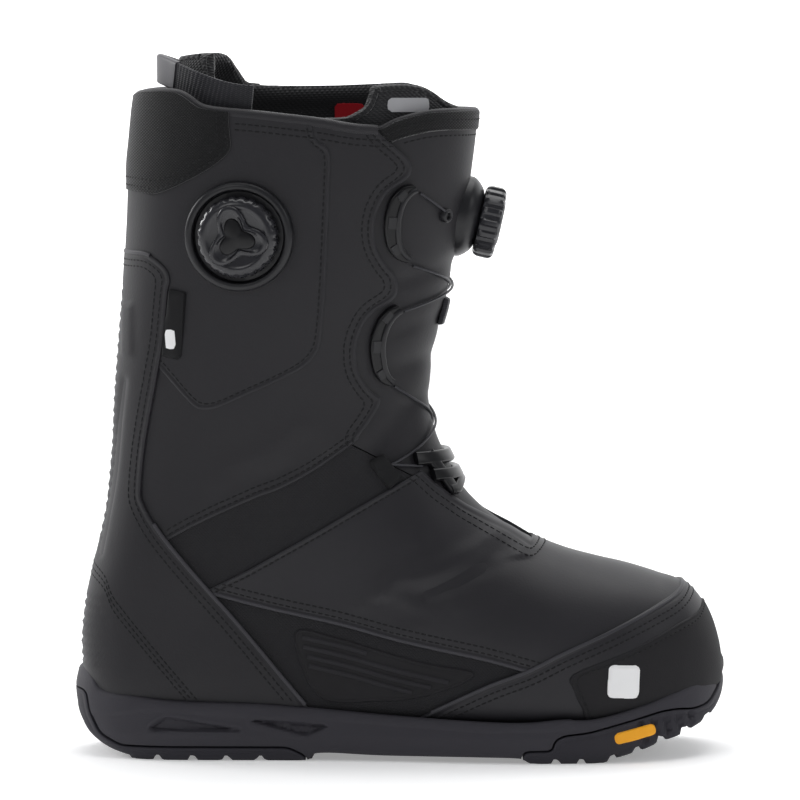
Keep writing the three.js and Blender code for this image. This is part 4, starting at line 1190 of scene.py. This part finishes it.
knob = Batch()
knob.add(*turned(roundedSteps(sideLook["grip"], 0.6), 192, place, axis, notches))
knob.add(*turned(roundedSteps(sideLook["star"], 0.45), 144, place, axis, petals))
knob.build("sideDialKnob", looks["knobGloss"], "dial_plastic", ["side_dial_knob"], 30)
hub = Batch()
hub.add(*turned(roundedSteps(sideLook["hub"], 0.4), 96, place, axis, petals))
hub.build("sideDialHub", looks["gloss"], "dial_plastic", smoothAngle=30)

frontLook = {
    "z": 252.0, "droop": 13.0, "ribs": 18,
    "base": [(12, -12, 0), (19.0, -12, 0), (19.2, 0.6, 0), (17.4, 3.2, 0), (14.8, 5.6, 0), (12.4, 6.6, 0),
             (4, 6.6, 0)],
    "knob": [(10, 6.4, 0), (15.4, 6.8, 0.0), (16.3, 8.0, 0.02), (16.6, 9.6, 0.028), (16.6, 14.6, 0.028),
             (15.9, 16.2, 0.015), (14.2, 16.9, 0), (13.2, 15.6, 0), (3, 15.6, 0)],
    "star": [(10.6, 15.2, 0.14), (10.4, 16.8, 0.14), (9.0, 17.4, 0.14), (1, 17.5, 0)],
    "eyelet": [(0.6, -1, 0), (3.4, -1, 0), (3.2, 1.6, 0), (2.3, 2.2, 0), (1.5, 1.8, 0), (1.3, 0.2, 0),
               (0.3, 0.2, 0)],
    "eyeletShare": 0.145, "eyeletHeight": 253.5,
}
place, _ = skinAt(0.0, frontLook["z"], -1)
droop = math.radians(frontLook["droop"])
axis = (math.cos(droop), 0, -math.sin(droop))
frontBase = Batch()
frontBase.add(*turned(roundedSteps(frontLook["base"], 0.7), 96, place, axis))
for side in (-1, 1):
    spot, normal = skinAt(frontLook["eyeletShare"], frontLook["eyeletHeight"], side, 0.2)
    frontBase.add(*turned(roundedSteps(frontLook["eyelet"], 0.3), 28, spot, normal))
frontBase.build("frontDialBase", looks["plastic"], "dial_plastic", ["front_dial_base"])


def ribbed(turn):
    return np.clip(np.cos(turn * frontLook["ribs"]) * 2.2, -1, 1)


frontKnob = Batch()
frontKnob.add(*turned(roundedSteps(frontLook["knob"], 0.45), 216, place, axis, ribbed))
frontKnob.add(*turned(roundedSteps(frontLook["star"], 0.5), 96, place, axis, petals))
frontKnob.build("frontDialKnob", looks["knobGloss"], "dial_plastic", ["front_dial_knob"], 30)
print("dials made")


# guides, laces and straps
guideLook = {
    "thickness": 3.4, "railRadius": 1.35, "bridges": (0.2, 0.5, 0.8),
    "upper": {"line": [(6.6, 266.2), (2.4, 264.6), (-1.4, 260.2), (-3.4, 254), (-3.9, 247.6), (-3.2, 241.2),
                       (-0.6, 236.4), (3.4, 233.6)],
              "width": [3.6, 6.4, 7.6, 7.8, 7.6, 7.0, 5.8, 3.4]},
    "lower": {"line": [(-1.0, 210.2), (-4.4, 208.4), (-8.4, 203.2), (-10.6, 196.5), (-10.9, 190), (-9.9, 183),
                       (-7.8, 178.6), (-4.8, 176.0)],
              "width": [4.2, 5.8, 6.6, 6.9, 6.9, 6.4, 5.4, 3.6]},
}
sides = ((-1, "lateral"), (1, "medial"))


def overSkin(found, lift, profile):
    # a bar of the given section, a height over places found on the skin
    places, normals = np.array([spot for spot, _ in found]), np.array([normal for _, normal in found])
    return sweep(places + normals * lift, normals, profile)


for name in ("upper", "lower"):
    look = guideLook[name]
    for side, word in sides:
        guide, rail = Batch(), Batch()
        path = smoothLine(look["line"], 8)
        widths = np.interp(np.linspace(0, 1, len(path)), np.linspace(0, 1, len(look["width"])), look["width"])
        found = [onSkin(x, z, side) for x, z in path]
        places, normals = np.array([f[0] for f in found]), np.array([f[1] for f in found])
        sizes = np.column_stack([widths, np.full(len(path), guideLook["thickness"])])
        guide.add(*sweep(places + normals * 0.9, normals, slabProfile(1, 1, 0.22, 4), sizes))
        inside = path + np.column_stack([np.ones(len(path)), np.zeros(len(path))]) * (widths * 0.28)[:, None]
        tunnel = [onSkin(x, z, side) for x, z in inside[3:-3]]
        rail.add(*overSkin(tunnel, 2.6, roundProfile(guideLook["railRadius"], 12)))
        for share in guideLook["bridges"]:
            n = int(share * (len(path) - 1))
            span = path[n + 4] - path[n - 4]
            pad = [onSkin(*(path[n] - (0.4, 0) + span * t), side) for t in (-0.42, -0.2, 0, 0.2, 0.42)]
            rail.add(*overSkin(pad, 2.5, slabProfile(4.6, 1.5, 0.5)))
        guide.build(f"{name}Guide.{word}", looks["gloss"], "guide_plastic", [f"{name}_guide_{word}"])
        rail.build(f"{name}GuideRail.{word}", looks["plastic"], "guide_plastic")

wireLook = {"radius": 0.6, "lift": 1.3, "hug": -1.1, "cross": 1.3, "dialShare": 0.155}
ends = {"dial": (None, 255.6), "upperTop": (8.6, 264.4), "upperBottom": (5.6, 230.6), "lowerTop": (1.4, 209.4),
        "lowerBottom": (-3.2, 174.2), "loop": (-4.6, 137.5), "throat": (9.6, 136.2)}


def wirePath(start, end, startSide, endSide, over=0.0):
    shares = []
    for name, side in ((start, startSide), (end, endSide)):
        x, height = ends[name]
        shares.append(side * (wireLook["dialShare"] if x is None else shareAt(x, height)))
    heights = (ends[start][1], ends[end][1])
    places, normals = [], []
    for t in np.linspace(0, 1, 40):
        share = shares[0] + (shares[1] - shares[0]) * t
        hug = wireLook["hug"] * math.sin(math.pi * t) * (startSide != endSide)
        lift = wireLook["lift"] + hug + over * bell(t - 0.5, 0.16)
        spot, normal = skinAt(abs(share), heights[0] + (heights[1] - heights[0]) * t, 1 if share > 0 else -1, lift)
        places.append(spot)
        normals.append(normal)
    return np.array(places), np.array(normals)


def addWire(batch, *route, over=0.0):
    places, normals = wirePath(*route, over=over)
    batch.add(*sweep(places, normals, roundProfile(wireLook["radius"], 8)))


for side, word in sides:
    top = Batch()
    addWire(top, "dial", "upperTop", side, side)
    top.build(f"topLace.{word}", looks["wire"], "lace_wire", [f"lace_top_{word}"])
crossed = Batch()
addWire(crossed, "upperBottom", "lowerTop", -1, 1)
addWire(crossed, "upperBottom", "lowerTop", 1, -1, over=wireLook["cross"])
crossed.build("upperLace", looks["wire"], "lace_wire", ["lace_upper_cross"])
crossed = Batch()
addWire(crossed, "lowerBottom", "loop", -1, 1)
addWire(crossed, "lowerBottom", "loop", 1, -1, over=wireLook["cross"])
for side in (-1, 1):
    addWire(crossed, "loop", "throat", side, side)
crossed.build("lowerLace", looks["wire"], "lace_wire", ["lace_lower_cross"])

# low side loops of webbing, the tab on the tongue and the guide at the throat
loopOutline = outlineField(roundCorners([(-15, 139.0), (-8, 142.5), (0.6, 131.6), (-5.2, 126)], 1.2))
for side, word in sides:
    sheetPiece(f"sideLoop.{word}", skin, [loopOutline, lambda data, side=side: -data[:, 1] * side], 2.6, 0.4,
               looks["tagCloth"],
               [f"side_loop_{word}"], ignore=(1,), roll=1.2)
tabOutline = outlineField(roundCorners([(2, 214.5), (2, 202.5), (40, 200.5), (40, 213.5)], 1.5))
sheetPiece("tongueTab", skin, [tabOutline, lambda data: np.abs(data[:, 1]) - 11], 1.9, -0.3, looks["webbing"],
           ["tongue_tab"], roll=1.2)
throatLook = {"bars": [(139.5, 0.155, 6.5, 3.4), (131.5, 0.145, 6.0, 3.8), (124.5, 0.13, 5.0, 3.4)],
              "postShare": 0.115, "postLow": 122, "postHigh": 142}
throat = Batch()
for height, reach, width, thickness in throatLook["bars"]:
    path = [skinAt(abs(share), height, 1 if share > 0 else -1, 1.5) for share in np.linspace(-reach, reach, 25)]
    throat.add(*overSkin(path, 0.0, slabProfile(width, thickness, 1.3, 4)))
for side, _ in sides:
    heights = np.linspace(throatLook["postLow"], throatLook["postHigh"], 14)
    path = [skinAt(throatLook["postShare"], height, side, 1.2) for height in heights]
    throat.add(*overSkin(path, 0.0, slabProfile(6.5, 3.6, 1.2, 4)))
throat.build("throatGuide", looks["gloss"], "guide_plastic", ["throat_guide"])

# strap loop behind the collar, ribbed across
loopLook = {
    "width": 12.8, "thickness": 1.7, "rib": 2.3, "pitch": 0.55, "capHalf": 25,
    "leg": [(-68, -48, 307.6), (-78, -45, 308.8), (-88, -40, 311.5), (-97, -33.5, 315), (-105.5, -21, 318.8)],
    "back": (-112.5, 0, 321.5),
}
leg = loopLook["leg"]
course = smoothLine(leg + [loopLook["back"]] + [(x, -y, z) for x, y, z in leg[::-1]], 24)
course = evenPath(course, loopLook["pitch"])
upright = (0.0, 0.0, 1.0)
ribs = 1 + 0.28 * np.sin(np.arange(len(course)) * loopLook["pitch"] * 2 * math.pi / loopLook["rib"])
strap = Batch()
strap.add(*sweep(course, np.tile(upright, (len(course), 1)),
                 slabProfile(loopLook["thickness"], loopLook["width"], 0.5),
                 np.column_stack([ribs, np.ones(len(course))])))
strap.build("pullLoop", looks["webbing"], "webbing", ["pull_loop"], 50)
endCap = Batch()
nose = course[np.abs(course[:, 1]) < loopLook["capHalf"]]
endCap.add(*sweep(nose, np.tile(upright, (len(nose), 1)), slabProfile(3.4, 13.7, 1.2)))
endCap.build("pullLoopEnd", looks["satin"], "webbing")

# tag and labels
tag = outlineField(roundCorners([(-106.2, 220.0), (-98.2, 218.4), (-101.0, 186.8), (-109.8, 188.4)], 1.0))
sheetPiece("sideTag", skin, [tag, outerOnly], 3.3, 1.2, looks["tagCloth"], ["side_tag"], ignore=(1,),
           roll=0.6)
tagMark = outlineField(turnedPatch((-105.0, 196.6), 4.4, 9.0, 4, 0.8))
sheetPiece("tagMark", skin, [tagMark, outerOnly], 3.55, 3.0, looks["white"], ignore=(1,))
label = outlineField(turnedPatch((-23, 300.6), 15, 11.8, 0, 1.2))
sheetPiece("linerLabel", linerGrid, [label, lambda data: -data[:, 1]], -10.6, -11.9, looks["red"],
           ignore=(1,))
patchField = outlineField(turnedPatch((5, 305.4), 20, 6.6, 0, 1.4))
sheetPiece("linerPatch", linerGrid, [patchField, outerOnly], -2.5, -3.3, looks["grey"], ignore=(1,))
print("guides, laces and straps made")


# seams: the distances are millimetres inside each panel's border
stitches, piping, binding = batches["stitches"], batches["piping"], batches["binding"]
throatEdge = outsideField(inThroat)
for distance in (2.6, 5.4):
    addStitches(stitches, seamRuns(quarter, throatEdge, distance, lambda run: run[:, 2] < 292))
    addStitches(stitches, seamRuns(vamp, throatEdge, distance))
    addStitches(stitches, seamRuns(vamp, overVampBottom, distance + 0.6, lambda run: inHeel(run) > 1))
for distance in (2.4, 5.0):
    addStitches(stitches, seamRuns(quarter, overQuarterBottom, distance,
                                   lambda run: (inHeel(run) > 1) & (run[:, 0] < -22)))
addStitches(stitches, seamRuns(vamp, underVampTop, 2.6, lambda run: (inHeel(run) > 1) & (run[:, 0] < 8)))
addStitches(stitches, seamRuns(cuff, inCuff, 2.4, lambda run: run[:, 2] < 296))
addStitches(stitches, seamRuns(patch, inCollarPatch, 2.4))
addStitches(stitches, seamRuns(patch, inCollarPatch, 6.0))
for distance in (4.2, 7.0):
    addStitches(stitches, seamRuns(heel, inHeel, distance, lambda run: run[:, 2] > 27))
    addStitches(stitches, seamRuns(toe, inToe, distance, lambda run: inBumper(run) > 1))
    addStitches(stitches, seamRuns(quarter, underCollar, distance + 1.0,
                                   lambda run: (inCollarPatch(run) > 1) & (inCuff(run) > 1)))
    addStitches(stitches, seamRuns(cuff, underCollar, distance + 1.0, lambda run: inCollarPatch(run) > 1))
heelSeam = smoothLine(lines["heelSeam"], 5)
for shift in (0.0, 3.0, 6.0):
    seam = belowField(heelSeam[np.argsort(heelSeam[:, 0])], -shift)
    addStitches(stitches, seamRuns(heel, seam, 0.0, lambda run: run[:, 2] > 28))
addStitches(stitches, seamRuns(bumper, inBumper, 2.6, lambda run: overSole(run) < -3))
addStitches(stitches, seamRuns(tongue, tongueTop, 11.5, lambda run: inThroat(run) < -3))
addStitches(stitches, seamRuns(band, tongueTop, 4.2))
stitches.build("stitching", looks["thread"], "shell", smoothAngle=60)

addTube(piping, seamRuns(vamp, overVampBottom, 0.5, lambda run: inHeel(run) > 0), 0.9, -0.25)
addTube(piping, seamRuns(heel, inHeel, 0.6, lambda run: run[:, 2] > 25), 0.95, -0.3)
addTube(piping, seamRuns(toe, inToe, 0.6), 0.9, -0.3)
piping.build("edgePiping", looks["piping"], "shell")

high = skin[1][(skin[0][skin[1], 2] > 285).all(axis=1)].tolist()
runs = []
for run in contour(skin[0], high, underCollar(skin[0]) + 0.6):
    outside = inThroat(run) > -0.5
    start = 0
    for n in range(len(run) + 1):
        if n == len(run) or not outside[n]:
            if n - start > 5:
                runs.append(run[start:n])
            start = n + 1
addTube(binding, runs, 2.5, -0.4, 0.95, 12, 1.8)
addTube(binding, seamRuns(tongue, tongueTop, 0.8), 1.9, -1.0, 0.9, 12, 1.8)
binding.build("collarBinding", looks["binding"], "shell")
batches["linerBinding"].build("innerBootBinding", looks["knit"], "lining")
batches["guardRibs"].build("guardRibs", looks["rubberPatch"], "shell")
print("seams made")


# stage
stageLook = {"eyeHeight": 4.0, "distance": 2.5, "lens": 238.9, "lookZ": 0.1657, "white": (248, 248, 248),
             "wallGlow": 0.9, "floorGlow": 0.3, "sky": (235, 238, 245), "skyStrength": 0.22, "size": 16,
             "wallBehind": 4}
bpy.ops.mesh.primitive_plane_add(size=stageLook["size"], location=(0, 0, 0))
floor = bpy.context.object
floor.name = "floor"
bpy.ops.mesh.primitive_plane_add(size=stageLook["size"], location=(0, stageLook["wallBehind"], 0),
                                 rotation=(math.pi / 2, 0, 0))
wall = bpy.context.object
wall.name = "wall"
for backdrop, strength in ((floor, stageLook["floorGlow"]), (wall, stageLook["wallGlow"])):
    paint = {"dark": stageLook["white"], "light": stageLook["white"], "rough": 0.9, "bump": 0.0, "specular": 0.1}
    pale = makeMaterial(backdrop.name, paint)
    shader = pale.node_tree.nodes["Principled BSDF"]
    shader.inputs["Emission Color"].default_value = linear(stageLook["white"])
    shader.inputs["Emission Strength"].default_value = strength
    backdrop.data.materials.append(pale)

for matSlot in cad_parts["insole"].material_slots:
    matSlot.material = looks["knit"]

world = bpy.data.worlds.new("studio")
bpy.context.scene.world = world
world.use_nodes = True
world.node_tree.nodes["Background"].inputs[0].default_value = linear(stageLook["sky"])
world.node_tree.nodes["Background"].inputs[1].default_value = stageLook["skyStrength"]

lamps = {
    "key": {"place": (-1.3, -2.0, 2.0), "size": 1.2, "power": 10.5},
    "front": {"place": (2.3, -1.0, 1.5), "size": 1.0, "power": 7},
    "top": {"place": (0.2, 0.5, 2.4), "size": 2.2, "power": 40},
    "rim": {"place": (-2.1, 0.9, 1.1), "size": 0.9, "power": 20},
}
for name, lamp in lamps.items():
    light = bpy.data.lights.new(name, "AREA")
    light.size = lamp["size"]
    light.energy = lamp["power"]
    holder = bpy.data.objects.new(name, light)
    bpy.context.scene.collection.objects.link(holder)
    holder.location = lamp["place"]
    holder.rotation_euler = (Vector((0, 0, 0.15)) - Vector(lamp["place"])).to_track_quat("-Z", "Y").to_euler()

camera = bpy.data.cameras.new("camera")
camera.lens = stageLook["lens"]
camera.sensor_width = 36
eye = bpy.data.objects.new("camera", camera)
bpy.context.scene.collection.objects.link(eye)
tilt = math.radians(stageLook["eyeHeight"])
aim = Vector((0, 0, stageLook["lookZ"]))
eye.location = aim + Vector((0, -math.cos(tilt), math.sin(tilt))) * stageLook["distance"]
eye.rotation_euler = (aim - eye.location).to_track_quat("-Z", "Y").to_euler()
bpy.context.scene.camera = eye
bpy.context.scene.view_settings.view_transform = "Standard"

print("stage set")
